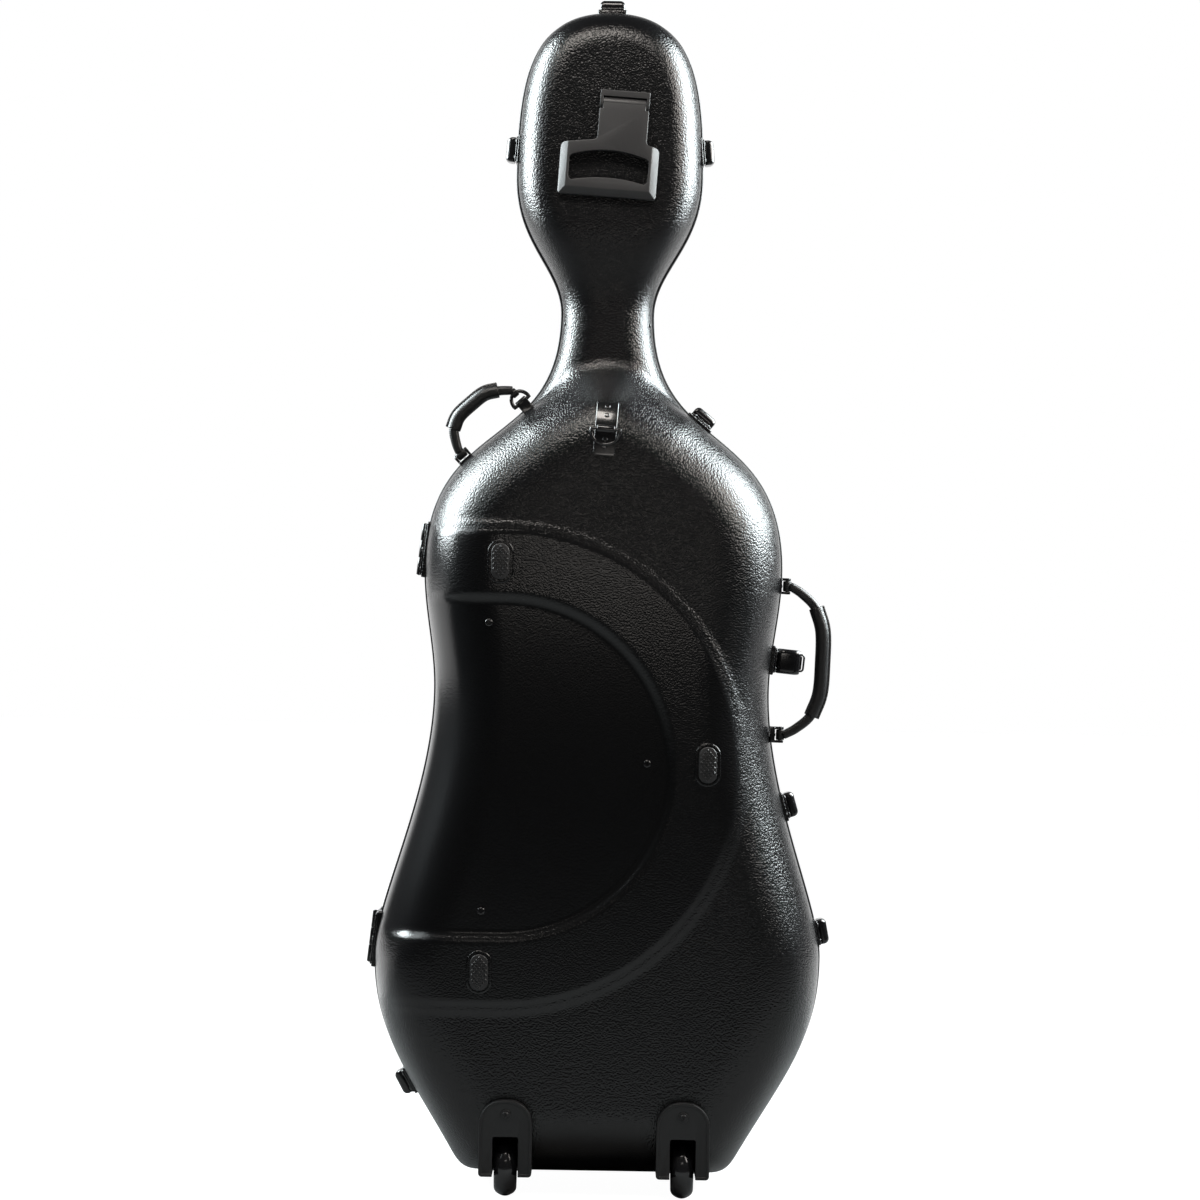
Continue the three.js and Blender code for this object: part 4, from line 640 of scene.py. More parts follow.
# %% Rows on the mould
def mould_row(half, loop, share, inset, relief=None):
    """One row of a half's surface, a share of the way from the outline to the spine."""
    x, z = loop["x"] - inset * loop["nx"], loop["z"] - inset * loop["nz"]
    spine = np.clip(loop["z"], SPINE_LOW, SPINE_HIGH)
    x, z = x * (1 - share), z + (spine - z) * share
    if relief and share > 0:
        x, z = gathered(x, z)
    if share == 0:
        return np.stack([x, np.full(len(x), half["sign"] * EDGE), z], axis=1)
    depth, to_outline = depth_at(half, loop, x, z, inset)
    if relief:
        depth = depth + relief(x, z, to_outline)
    return np.stack([x, half["sign"] * depth, z], axis=1)


def edge_shares(rows):
    """Where the rows lie between the outline and the spine: close together near the seam."""
    near = [distance / HALF_WIDTH for distance in EDGE_DISTANCES]
    return [0, *near, *np.linspace(near[-1], 1, rows + 1)[1:]]


def closed_net(name, rings):
    """A net over a stack of rings, whose ends are drawn to the middle of the first and last ring."""
    first, last = (np.broadcast_to(ring.mean(axis=0), ring.shape) for ring in (rings[0], rings[-1]))
    return net(name, len(rings[0]), [first, *rings, last])


def shell(name, half, half_count, rows, inset, thickness, inner_rows, relief=None):
    """A closed wall over the mould, moved in by an inset, with its rows on the outside and inside."""
    loop = outline(half_count)
    outer = [mould_row(half, loop, share, inset, relief) for share in reversed(edge_shares(rows))]
    inner_shares = np.linspace(0, 1, inner_rows) ** 2
    inner = [mould_row(half, loop, share, inset + thickness) for share in inner_shares]
    return net(name, 2 * half_count, [*outer, *inner])


print("rows close to the seam", len(EDGE_DISTANCES), "out of", len(edge_shares(40)))

# %% [markdown]
# The back has the finer net, because it carries the crescent.

# %% The nets of the two halves
BACK_COUNT, BACK_ROWS, LID_COUNT = ((480, 60, 320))
back_skin = shell("back_skin", BACK, BACK_COUNT, BACK_ROWS, 0, WALL, 22, crescent_relief)
lid_skin = shell("lid_skin", LID, LID_COUNT, 28, 0, WALL, 10)
print("shell faces", len(back_skin.data.polygons), len(lid_skin.data.polygons))

# %% [markdown]
# ## Pebble-grained plastic
#
# The sheet that such shells are formed from carries a pebble grain, fine rounded bumps about two
# millimetres apart with a little gloss on their tops. A Voronoi pattern gives the cells and a noise
# breaks them up. The grain only tilts the light, so it is a bump and needs no faces.

# %% Grain and shell plastic
def node_group(name, inputs, outputs):
    """An empty group with its sockets: lists of names and types."""
    group = bpy.data.node_groups.new(name, "ShaderNodeTree")
    for label, kind, value in inputs:
        group.interface.new_socket(label, in_out="INPUT", socket_type=kind).default_value = value
    for label, kind in outputs:
        group.interface.new_socket(label, in_out="OUTPUT", socket_type=kind)
    return group, group.nodes.new("NodeGroupInput"), group.nodes.new("NodeGroupOutput")


PEBBLE_DEPTH, PEBBLE_SMOOTHNESS, LUMP_SHARE = 0.0006, 0.45, 0.5
grain, grain_in, grain_out = node_group(
    "pebble_grain",
    [
        ("Vector", "NodeSocketVector", (0, 0, 0)),
        ("Cells", "NodeSocketFloat", 330),
        ("Strength", "NodeSocketFloat", 0.5),
    ],
    [("Normal", "NodeSocketVector"), ("Height", "NodeSocketFloat")],
)
spot, cell_count = grain_in.outputs["Vector"], grain_in.outputs["Cells"]
values = {"Vector": spot, "Scale": cell_count, "Smoothness": PEBBLE_SMOOTHNESS}
cells = add_node(grain, "TexVoronoi", values, feature="SMOOTH_F1")
lump_count = maths(grain, "MULTIPLY", cell_count, 1.3)
lumps = add_node(grain, "TexNoise", {"Vector": spot, "Scale": lump_count, "Detail": 2})
pebble = maths(grain, "MULTIPLY", cells.outputs["Distance"], -1.0)
height = maths(grain, "MULTIPLY_ADD", lumps.outputs["Fac"], LUMP_SHARE, pebble)
values = {"Strength": grain_in.outputs["Strength"], "Distance": PEBBLE_DEPTH, "Height": height}
bump = add_node(grain, "Bump", values)
grain.links.new(bump.outputs["Normal"], grain_out.inputs["Normal"])
grain.links.new(height, grain_out.inputs["Height"])


def grained_material(name, colour, roughness, cells_per_metre, strength, **sockets):
    """A Principled material that carries the pebble grain at a scale and strength of its own."""
    made = plain_material(name, colour, roughness, **sockets)
    tree = made.node_tree
    place = add_node(tree, "TexCoord", {})
    values = {"Vector": place.outputs["Object"], "Cells": cells_per_metre, "Strength": strength}
    pebbles = add_node(tree, "Group", values, node_tree=grain)
    tree.links.new(pebbles.outputs["Normal"], tree.nodes["Principled BSDF"].inputs["Normal"])
    return made


SHELL_ROUGHNESS = 0.25
shell_plastic = grained_material("shell_plastic", (0.002, 0.0021, 0.0024), SHELL_ROUGHNESS, 460, 0.6)
print("nodes in the grain", len(grain.nodes))

# %% [markdown]
# Inside the crescent the sheet was pressed hard against the mould, which smoothed its grain away, so
# the photograph shows that part almost black. A mask follows the distance from the crescent's centre,
# on the back only, and takes the grain and some roughness out of it.

# %% Smooth floor of the crescent
FLOOR_SMOOTHNESS, BAND_SMOOTHNESS, SMOOTH_EDGE = 0.3, 0.55, 3
RELIEF_STRENGTH, GLOSS_GAIN = 0.8, 0.06
tree = shell_plastic.node_tree
shader = tree.nodes["Principled BSDF"]
place = next(node for node in tree.nodes if node.type == "TEX_COORD")
pebbles = next(node for node in tree.nodes if node.type == "GROUP")
centre = CASE @ Vector((CRESCENT_CENTRE[0], 0, CRESCENT_CENTRE[1]))
shift = add_node(tree, "Mapping", {"Vector": place.outputs["Object"], "Location": -centre})
along = add_node(tree, "SeparateXYZ", {"Vector": shift.outputs["Vector"]})
to_right = maths(tree, "MAXIMUM", along.outputs["X"], 0.0)
right_square = maths(tree, "MULTIPLY", to_right, to_right)
upward = along.outputs["Z"]
radius = maths(tree, "SQRT", maths(tree, "MULTIPLY_ADD", upward, upward, right_square))


def inside_radius(edge):
    """1 inside a distance from the crescent's centre and 0 outside it."""
    values = {"Value": radius, "From Min": (edge + SMOOTH_EDGE) * MM, "From Max": (edge - SMOOTH_EDGE) * MM}
    return add_node(tree, "MapRange", values, interpolation_type="SMOOTHSTEP").outputs["Result"]


pressed = maths(tree, "MULTIPLY", inside_radius(CRESCENT_OUTER + 2), BAND_SMOOTHNESS)
pressed = maths(tree, "MULTIPLY_ADD", inside_radius(CRESCENT_INNER - 8), FLOOR_SMOOTHNESS, pressed)
smooth = maths(tree, "MULTIPLY", pressed, maths(tree, "LESS_THAN", along.outputs["Y"], 0.0))
kept = maths(tree, "MULTIPLY_ADD", smooth, -1.0, 1.0)
height = maths(tree, "MULTIPLY", pebbles.outputs["Height"], kept)
relief = add_node(tree, "Bump", {"Distance": PEBBLE_DEPTH, "Strength": RELIEF_STRENGTH, "Height": height})
tree.links.new(relief.outputs["Normal"], shader.inputs["Normal"])
tree.links.new(maths(tree, "MULTIPLY_ADD", smooth, -GLOSS_GAIN, SHELL_ROUGHNESS), shader.inputs["Roughness"])
print("nodes in the shell plastic", len(tree.nodes))

# %% [markdown]
# The other finishes are made the same way, each in its own colour and gloss: satin mouldings,
# rubber, leather and plush carry the grain group at a scale and strength of their own, and painted
# or plated metal, the tyres and the thread have none.

# %% Materials of the other pieces
LEATHER_CELLS, MICRO_CELLS, PLUSH_CELLS = 900, 2200, 1500
moulded_plastic = grained_material("moulded_plastic", (0.03, 0.03, 0.031), 0.42, MICRO_CELLS, 0.12)
housing_plastic = grained_material("housing_plastic", (0.007, 0.007, 0.0075), 0.45, MICRO_CELLS, 0.12)
pad_rubber = grained_material("pad_rubber", (0.02, 0.02, 0.021), 0.4, MICRO_CELLS, 0.12)
leather = grained_material("leather", (0.006, 0.006, 0.0065), 0.32, LEATHER_CELLS, 0.4)
plush = grained_material(
    "plush", (0.03, 0.032, 0.038), 0.95, PLUSH_CELLS, 0.9, Sheen_Weight=0.8, Sheen_Roughness=0.4,
)
wheel_tyre = plain_material("wheel_tyre", (0.008, 0.008, 0.009), 0.16, Coat_Weight=0.3)
black_metal = plain_material("black_metal", (0.005, 0.005, 0.0055), 0.18, Coat_Weight=0.4)
rim_metal = plain_material("rim_metal", (0.02, 0.02, 0.021), 0.32, 0.6)
bright_metal = plain_material("bright_metal", (0.12, 0.12, 0.125), 0.12, 1.0)
thread = plain_material("thread", (0.05, 0.05, 0.052), 0.7)
print("materials", len(bpy.data.materials))

# %% [markdown]
# No finish is the same all over. Handling and cleaning leave faint patches, and paint, plating and
# thread have a fine unevenness of their own. One node group gives a slow and a fast noise, and each
# material uses them at its own scale for its colour, its roughness and, where it has no grain, its
# bump.

# %% Patches and specks
PATCHES, PAINT_RELIEF = 28.0, 0.00006
MIX_FIRST, MIX_SECOND, MIX_RESULT = 6, 7, 2
unevenness, uneven_in, uneven_out = node_group(
    "unevenness",
    [("Vector", "NodeSocketVector", (0, 0, 0)), ("Specks", "NodeSocketFloat", 900)],
    [("Patch", "NodeSocketFloat"), ("Speck", "NodeSocketFloat")],
)
spot, speck_count = uneven_in.outputs["Vector"], uneven_in.outputs["Specks"]
for label, scale, detail in (("Patch", PATCHES, 3), ("Speck", speck_count, 4)):
    noise = add_node(unevenness, "TexNoise", {"Vector": spot, "Scale": scale, "Detail": detail})
    unevenness.links.new(noise.outputs["Fac"], uneven_out.inputs[label])


def make_uneven(material, specks, spread, contrast, relief_depth=0.0):
    """Varies a material's roughness by a spread and its colour by a contrast, and adds a fine relief."""
    tree = material.node_tree
    shader = tree.nodes["Principled BSDF"]
    place = add_node(tree, "TexCoord", {})
    values = {"Vector": place.outputs["Object"], "Specks": specks}
    group = add_node(tree, "Group", values, node_tree=unevenness)
    both = maths(tree, "ADD", group.outputs["Patch"], group.outputs["Speck"])
    colour = shader.inputs["Base Color"].default_value[:3]
    darker = (*[value * (1 - contrast) for value in colour], 1)
    lighter = (*[value * (1 + contrast) for value in colour], 1)
    values = {"Factor": maths(tree, "MULTIPLY", both, 0.5), MIX_FIRST: darker, MIX_SECOND: lighter}
    shade = add_node(tree, "Mix", values, data_type="RGBA")
    tree.links.new(shade.outputs[MIX_RESULT], shader.inputs["Base Color"])
    if not shader.inputs["Roughness"].is_linked:
        low = shader.inputs["Roughness"].default_value - spread
        tree.links.new(maths(tree, "MULTIPLY_ADD", both, spread, low), shader.inputs["Roughness"])
    if relief_depth:
        values = {"Distance": relief_depth, "Strength": 0.5, "Height": group.outputs["Speck"]}
        tree.links.new(add_node(tree, "Bump", values).outputs["Normal"], shader.inputs["Normal"])


make_uneven(shell_plastic, 300, 0.0, 0.5)
make_uneven(moulded_plastic, 700, 0.08, 0.25)
make_uneven(housing_plastic, 700, 0.08, 0.3)
make_uneven(pad_rubber, 700, 0.1, 0.3)
make_uneven(leather, 500, 0.1, 0.5)
make_uneven(plush, 400, 0.04, 0.4)
make_uneven(wheel_tyre, 900, 0.06, 0.5, PAINT_RELIEF)
make_uneven(black_metal, 1400, 0.08, 0.5, PAINT_RELIEF)
make_uneven(rim_metal, 1200, 0.1, 0.4, PAINT_RELIEF)
make_uneven(bright_metal, 1600, 0.06, 0.3, PAINT_RELIEF / 2)
make_uneven(thread, 2600, 0.1, 0.5, 0.0002)
print("nodes in the unevenness", len(unevenness.nodes))

# %% [markdown]
# The two nets have waited for their plastic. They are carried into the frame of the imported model,
# get the material, and take the place of the shells of the CAD model.

# %% Both shells take their place
back_shell = finish_piece(settle(back_skin, CASE), "back", "shell", shell_plastic, "back_shell")
finish_piece(settle(lid_skin, CASE), "lid", "shell", shell_plastic, "lid_shell")

# %% [markdown]
# ## Three ways of making hardware
#
# Sheet metal and moulded parts start as a filled outline that is extruded, with a bevel on its edges.
# Pins and tubes are cylinders. Straps, wires and rims are one section carried along a path, again
# as a net. Holes are cut with a Boolean, as a punch or drill would.

# %% Plates and rods
def arc(radius, start, end, steps, centre=(0, 0)):
    """Points on a circle between two angles in degrees."""
    angles = np.radians(np.linspace(start, end, steps + 1))
    return [(centre[0] + radius * math.cos(a), centre[1] + radius * math.sin(a)) for a in angles]


def rounded_rectangle(width, height, radius, steps=6, centre=(0, 0)):
    """The outline of a rectangle with round corners, or of an obround."""
    x, z = width / 2 - radius, height / 2 - radius
    corners = ((x, z, 0), (-x, z, 90), (-x, -z, 180), (x, -z, 270))
    return [
        point for cx, cz, turn in corners
        for point in arc(radius, turn, turn + 90, steps, (centre[0] + cx, centre[1] + cz))
    ]


def plate(name, points, low, high, bevel=0.0):
    """A filled outline in x and y, extruded along z, with its edges rounded."""
    clean_slate()
    bpy.ops.mesh.primitive_circle_add(vertices=len(points), fill_type="NGON")
    piece = take(name)
    piece.data.vertices.foreach_set("co", [value for x, y in points for value in (x, y, low)])
    edit(piece)
    bpy.ops.mesh.select_all(action="SELECT")
    bpy.ops.mesh.remove_doubles(threshold=0.001)
    bpy.ops.mesh.select_all(action="SELECT")
    bpy.ops.mesh.extrude_region_move(TRANSFORM_OT_translate={"value": (0, 0, high - low)})
    bpy.ops.mesh.select_all(action="SELECT")
    bpy.ops.mesh.normals_make_consistent(inside=False)
    bpy.ops.object.mode_set(mode="OBJECT")
    return soften(piece, bevel) if bevel else piece


def turned(piece, *turns, move=(0, 0, 0)):
    """Turns a drawing about the axes given as (degrees, axis), then moves it, all in its mesh."""
    matrix = Matrix.Translation(move)
    for degrees, axis in turns:
        matrix = matrix @ Matrix.Rotation(math.radians(degrees), 4, axis)
    piece.data.transform(matrix @ piece.matrix_world)
    piece.matrix_world = Matrix.Identity(4)
    return piece


def rod(name, radius, length, axis="X", at=(0, 0, 0), sides=32, bevel=0.0):
    """A round bar along an axis, with its two edges rounded."""
    clean_slate()
    bpy.ops.mesh.primitive_cylinder_add(vertices=sides, radius=radius, depth=length)
    piece = take(name)
    turned(piece, *([(90, "Y")] if axis == "X" else []), move=at)
    return soften(piece, bevel, angle=60) if bevel else piece


def domed(name, radius, height, rounding):
    """A round head along z, whose edges are rounded until it is a dome."""
    return soften(rod(name, radius, height, "Z", sides=24), rounding, 4, 60)


print("points round an obround", len(rounded_rectangle(20, 40, 10)))

# %% [markdown]
# A swept form is a stack of sections, each square to the path. At an open end they shrink over a
# short cap, so that straps and wires end round.

# %% Swept forms and cuts
def swept(name, path, section, side, closed=False, cap=0.0, scale=None):
    """A section of (outward, sideways) points carried along a path in the plane square to side."""
    path, side, section = (np.array(values, float) for values in (path, side, section))
    if closed:
        tangent = np.roll(path, -1, axis=0) - np.roll(path, 1, axis=0)
    else:
        tangent = np.gradient(path, axis=0)
    tangent /= np.linalg.norm(tangent, axis=1)[:, None]
    outward = np.cross(tangent, side)
    scale = np.ones((len(path), 2)) if scale is None else np.array(scale, float)

    def row(i, share=1.0, along=0.0):
        """The section at a point of the path, shrunk by a share and moved along."""
        flat = section * scale[i] * share
        return path[i] + tangent[i] * along + flat[:, :1] * outward[i] + flat[:, 1:] * side

    rows = [row(i) for i in range(len(path))]
    if closed:
        rows.append(rows[0])
    else:
        size = np.abs(section).max()
        angles = np.radians((30, 60, 90)) if cap else ()
        ends = [(1 - cap / size * (1 - math.cos(a)), cap * math.sin(a)) for a in angles]
        first = [row(0, share, -along) for share, along in reversed(ends)]
        last = [row(len(path) - 1, share, along) for share, along in ends]
        rows = [row(0, 0, -cap), *first, *rows, *last, row(len(path) - 1, 0, cap)]
    return net(name, len(section), rows)


def ring_section(radius, sides=12):
    """The round section of a wire."""
    return arc(radius, 0, 360, sides)[:-1]


def cut(piece, cutter, operation="DIFFERENCE"):
    """Takes one drawing out of another, or joins them, and removes the tool."""
    modify(piece, "BOOLEAN", operation=operation, solver="EXACT", object=cutter)
    bpy.data.objects.remove(cutter)
    return piece


print("points round a wire", len(ring_section(1.0)))

# %% [markdown]
# ## Rims
#
# An extruded profile runs round the edge of each half. It hides the cut edge of the plastic, stands
# a little proud of it, and the back's tongue enters the lid's step, which keeps rain and dust out.
# Each profile is carried round the same outline as the shells.

# %% Rims
RIM_HEIGHT, RIM_PROUD, TONGUE_HEIGHT, TONGUE_THICKNESS = 9, 2.5, 4, 2.5
rim_inner = -(WALL + GAP + LINING)
rim_step = rim_inner + TONGUE_THICKNESS
seam_half = SEAM_GAP / 2
far_edge = seam_half + RIM_HEIGHT


def rim(name, profile, half_count=300):
    """A closed profile of (outward, depth) points carried round the outline."""
    loop = outline(half_count)
    rows = []
    for out, deep in [*profile, profile[0]]:
        x, z = loop["x"] + out * loop["nx"], loop["z"] + out * loop["nz"]
        rows.append(np.stack([x, np.full(len(x), deep), z], axis=1))
    return net(name, 2 * half_count, rows)


FAR_ROUND, SEAM_ROUND = 1.4, 0.7
outer_round = arc(FAR_ROUND, -90, 0, 4, (RIM_PROUD - FAR_ROUND, FAR_ROUND - far_edge))
seam_round = arc(SEAM_ROUND, 0, 90, 3, (RIM_PROUD - SEAM_ROUND, -seam_half - SEAM_ROUND))
back_profile = [
    (rim_inner, -far_edge), (0, -far_edge), *outer_round, *seam_round, (rim_step, -seam_half),
    (rim_step, TONGUE_HEIGHT), (rim_inner, TONGUE_HEIGHT),
]
lid_profile = [
    (rim_inner, far_edge), (0, far_edge), *[(x, -y) for x, y in [*outer_round, *seam_round]],
    (rim_step + SEAM_GAP, seam_half), (rim_step + SEAM_GAP, TONGUE_HEIGHT + SEAM_GAP),
    (rim_inner, TONGUE_HEIGHT + SEAM_GAP),
]
for body, profile in (("back", back_profile), ("lid", lid_profile)):
    piece = settle(rim(f"{body}_rim_profile", profile), CASE, 50)
    finish_piece(piece, body, "rim", rim_metal, f"{body}_rim")

# %% [markdown]
# ## Linings
#
# Inside, each half has a thin foam skin covered in short plush, which follows the shell. It is a net
# over the same mould, moved in by the wall, and it ends behind the rim.

# %% Linings
def lining(body, half):
    """A thin soft wall inside one half."""
    skin = shell(f"{body}_lining_skin", half, 200, 22, WALL + GAP, LINING, 10)
    piece = finish_piece(settle(skin, CASE, 60), body, "lining", plush, f"{body}_lining")
    return piece


back_lining = lining("back", BACK)
lining("lid", LID)

# %% [markdown]
# ## Screws
#
# One dome-headed screw with a cross recess is made once and copied wherever the case has a screw.

# %% A dome-headed screw
SCREW_RADIUS = 4.0


def screw(radius, stand):
    """A screw head that stands on z = 0, with a cross driven into it."""
    head = domed("screw_head", radius, stand * 2, stand * 0.9)
    for turn in (0, 90):
        slot = rounded_rectangle(radius * 1.1, radius * 0.26, radius * 0.1, 2)
        cut(head, turned(plate("cross_bar", slot, stand * 0.45, stand * 2), (turn, "Z")))
    return head


screw_master = screw(SCREW_RADIUS, 1.6)
print("faces of a screw", len(screw_master.data.polygons))


def sized_screw(name, radius):
    """A copy of the screw with another radius."""
    twin = copy_of(screw_master, name)
    twin.data.transform(Matrix.Scale(radius / SCREW_RADIUS, 4))
    return twin


def place_screw(piece, at, radius):
    """Joins a copy of the screw to a drawing; its head points along the drawing's z."""
    return join(piece, turned(sized_screw("screw_copy", radius), move=at))


# %% [markdown]
# ## Rest pads
#
# The case can lie on its back on three rubber pads. Each is an obround with rounded edges whose face
# is cut into diamonds for grip, and it sits in a shallow pocket of a seat that is moulded into the
# crescent. The diamonds are low four-sided studs on a slanted grid.

# %% Drawing of a rest pad
PAD_WIDTH, PAD_HEIGHT, PAD_FLOOR = 20.6, 41, 154.5
PAD_CIRCLE = (CRESCENT_INNER + CRESCENT_OUTER) / 2
PAD_ANGLES = {"upper": 91.3, "side": 1.6, "lower": -95.4}
STUD_PITCH, STUD_MARGIN = (4.9, 5.6), 2.6
STUD = {"vertices": 4, "radius1": 2.35, "radius2": 0.7, "depth": 1.9}
STUD_LEVEL, STUD_STRETCH = 5.2, 1.2


def on_circle(radius, degrees):
    """A place at a distance and an angle from the crescent's centre."""
    angle = math.radians(degrees)
    return CRESCENT_CENTRE[0] + radius * math.cos(angle), CRESCENT_CENTRE[1] + radius * math.sin(angle)


def facing_back(piece, x, z, depth):
    """Stands a drawing made in x and y on the back: its z becomes the way out of the case."""
    return turned(piece, (90, "X"), move=(x, -depth, z))


def inside_obround(x, y, margin):
    """Whether a place lies on the pad, further in than a margin."""
    half = max(abs(y) - (PAD_HEIGHT - PAD_WIDTH) / 2, 0)
    return math.hypot(x, half) < PAD_WIDTH / 2 - margin


pad_master = plate("rest_pad", rounded_rectangle(PAD_WIDTH, PAD_HEIGHT, PAD_WIDTH / 2, 12), 0.3, 5.0, 1.2)
studs = []
for row in range(-8, 9):
    for column in range(-3, 4):
        x = (column + (row % 2) / 2) * STUD_PITCH[0]
        y = row * STUD_PITCH[1] / 2
        if inside_obround(x, y, STUD_MARGIN):
            clean_slate()
            bpy.ops.mesh.primitive_cone_add(**STUD, location=(x, y, STUD_LEVEL))
            stud = take("stud")
            stud.data.transform(Matrix.Diagonal((1.0, STUD_STRETCH, 1.0, 1.0)))
            studs.append(stud)
pad_master = join(pad_master, *studs)
print("studs on a pad", len(studs))

# %% [markdown]
# Each pad goes to its place on the crescent. Its seat is a slightly larger obround of the shell's
# plastic, and the pocket for the pad is cut out of it.

# %% Pads and seats in their places
SEAT_MARGIN, POCKET_MARGIN = 4.5, 1.7


def grown_pad(margin):
    """The outline of the pad with a margin all round."""
    width, height = PAD_WIDTH + 2 * margin, PAD_HEIGHT + 2 * margin
    return rounded_rectangle(width, height, width / 2 - 0.1, 12)


for name, degrees in PAD_ANGLES.items():
    x, z = on_circle(PAD_CIRCLE, degrees)
    pad = facing_back(copy_of(pad_master, f"pad_{name}"), x, z, PAD_FLOOR)
    finish_piece(settle(pad, CASE), "back", "rubber", pad_rubber, f"rest_pad_{name}")
    seat = plate(f"pad_seat_{name}", grown_pad(SEAT_MARGIN), -6.5, 2.0, 1.6)
    cut(seat, plate("pocket", grown_pad(POCKET_MARGIN), 0, 6))
    facing_back(seat, x, z, PAD_FLOOR)
    finish_piece(settle(seat, CASE), "back", "shell", shell_plastic, "back_shell")
bpy.data.objects.remove(pad_master)

# %% [markdown]
# Three glossy screws in the recess hold the fittings inside the case. They are copies of the one
# screw, made a little larger. They sit on a circle about the crescent's centre, near the pads.

# %% Recess screws
SCREW_CIRCLE, RECESS_DEPTH, RECESS_SCREW_RADIUS = 164, 149.8, 4.5
SCREW_ANGLES = {"upper": 96, "side": 2.3, "lower": -97.3}
for name, degrees in SCREW_ANGLES.items():
    x, z = on_circle(SCREW_CIRCLE, degrees)
    head = facing_back(sized_screw(f"screw_{name}", RECESS_SCREW_RADIUS), x, z, RECESS_DEPTH)
    finish_piece(settle(head, CASE), "back", "metal", black_metal, f"recess_screw_{name}")

# %% [markdown]
# ## Draw latches
#
# Each latch is a base riveted to the back, a domed lever that turns on a pin, a wire bail under the
# lever, and a keeper on the lid. Pressing the lever down pulls the bail against the keeper and draws
# the halves together. The lever is a pressed cap: rows of rounded arches along its length, hollow
# underneath. It is drawn about its pivot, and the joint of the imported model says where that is.

# %% Drawing of a lever
LATCH_WIDTH, PIVOT_BACK, PIVOT_STAND, BOSS_STAND = 29, 15, 10.5, 3.5
lever_stations = [
    (-4.4, 24, -1.0, 1.0), (-4.1, 26.5, -2.4, 2.6), (-3.2, 28.2, -3.6, 4.2), (-1.5, 29, -4.3, 5.5),
    (1.5, 29, -4.4, 6.3), (6, 29, -4.4, 6.5), (12, 29, -4.4, 6.5), (17, 29, -4.4, 6.0), (20.5, 28.6, -4.2, 4.6),
    (22.8, 27.6, -3.2, 2.9), (23.8, 26, -1.9, 1.4), (24, 24, -1.0, 0.2),
]


def arch_ring(width, low, high, corner, steps=6):
    """A section of a pressed cap: a flat foot, upright sides and rounded shoulders, as (x, z)."""
    corner = min(corner, (high - low) * 0.8)
    foot = min(0.8, (high - low) * 0.3)
    half = width / 2
    return [
        *arc(foot, -90, 0, 2, (half - foot, low + foot)),
        *arc(corner, 0, 90, steps, (half - corner, high - corner)),
        *arc(corner, 90, 180, steps, (corner - half, high - corner)),
        *arc(foot, 180, 270, 2, (foot - half, low + foot)),
    ]


def cap_along_y(name, stations, corner):
    """A pressed cap through stations of (y, width, low, high)."""
    sections = [(y, arch_ring(width, low, high, corner)) for y, width, low, high in stations]
    return closed_net(name, [np.array([(x, y, z) for x, z in section]) for y, section in sections])


CAP_CORNER, CAP_SIDE_WALL, CAP_TOP_WALL = 5.5, 2.3, 1.8
BAIL_HALF, BAIL_BEND, BAIL_START, BAIL_END, BAIL_LEVEL, BAIL_WIRE = 9.5, 3, 8, 25, -0.7, 1.2


def bail_path():
    """The wire from one side of the lever round its finger end to the other."""
    half, inner = BAIL_HALF, BAIL_HALF - BAIL_BEND
    left = arc(BAIL_BEND, 150, 90, 2, (-inner, BAIL_END))
    right = arc(BAIL_BEND, 90, 30, 2, (inner, BAIL_END))
    flat = [(-half, BAIL_START), (-half, BAIL_END), *left, *right, (half, BAIL_END), (half, BAIL_START)]
    return [(x, y, BAIL_LEVEL) for x, y in flat]


def make_lever():
    """The cap with its hollow, the finger lip, the pin and the bail, drawn about the pin."""
    lever = cap_along_y("lever", lever_stations, CAP_CORNER)
    inside = [
        (y * 0.9 + 0.8, width - 2 * CAP_SIDE_WALL, -9, high - CAP_TOP_WALL)
        for y, width, low, high in lever_stations[2:-3]
    ]
    cut(lever, cap_along_y("hollow", inside, 4.0))
    lip = plate("finger_lip", rounded_rectangle(16, 3, 1.4), -0.9, 1.1, 0.7)
    turned(lip, (-20, "X"), move=(0, 24.2, -0.6))
    pin = rod("latch_pin", 1.5, LATCH_WIDTH - 1, bevel=0.3, sides=20)
    bail = swept("bail", bail_path(), ring_section(BAIL_WIRE, 12), (0, 0, 1), cap=0.4)
    return join(lever, lip, pin, bail)


lever_master = make_lever()
print("faces of a lever", len(lever_master.data.polygons))

# %% [markdown]
# The base is a pressed plate with one lug for the pin and two screws. The keeper is a plate with a
# tongue, whose front edge is turned up into a hook for the bail.

# %% Drawings of the base and the keeper
PLATE_LOW = BOSS_STAND + GAP
BASE_TOP, KEEPER_TOP = PLATE_LOW + 2, PLATE_LOW + 1.5
HOOK_REACH, TONGUE_WIDTH = 10.7, 15


def make_base():
    """The plate on the back, with the lug that holds the pin and two screws."""
    base_outline = rounded_rectangle(LATCH_WIDTH, 24, 3.5, centre=(0, -18))
    base = plate("latch_base", base_outline, PLATE_LOW, BASE_TOP, 0.6)
    lug = rod("lug", 3.2, 12, at=(0, -PIVOT_BACK, PIVOT_STAND), bevel=0.5)
    web = plate("web", rounded_rectangle(12, 6.4, 0.6, 2, (0, -PIVOT_BACK)), PLATE_LOW + 1, PIVOT_STAND)
    base = join(base, lug, web)
    for x in (-9.5, 9.5):
        base = place_screw(base, (x, -25.5, BASE_TOP), 2.6)
    return base


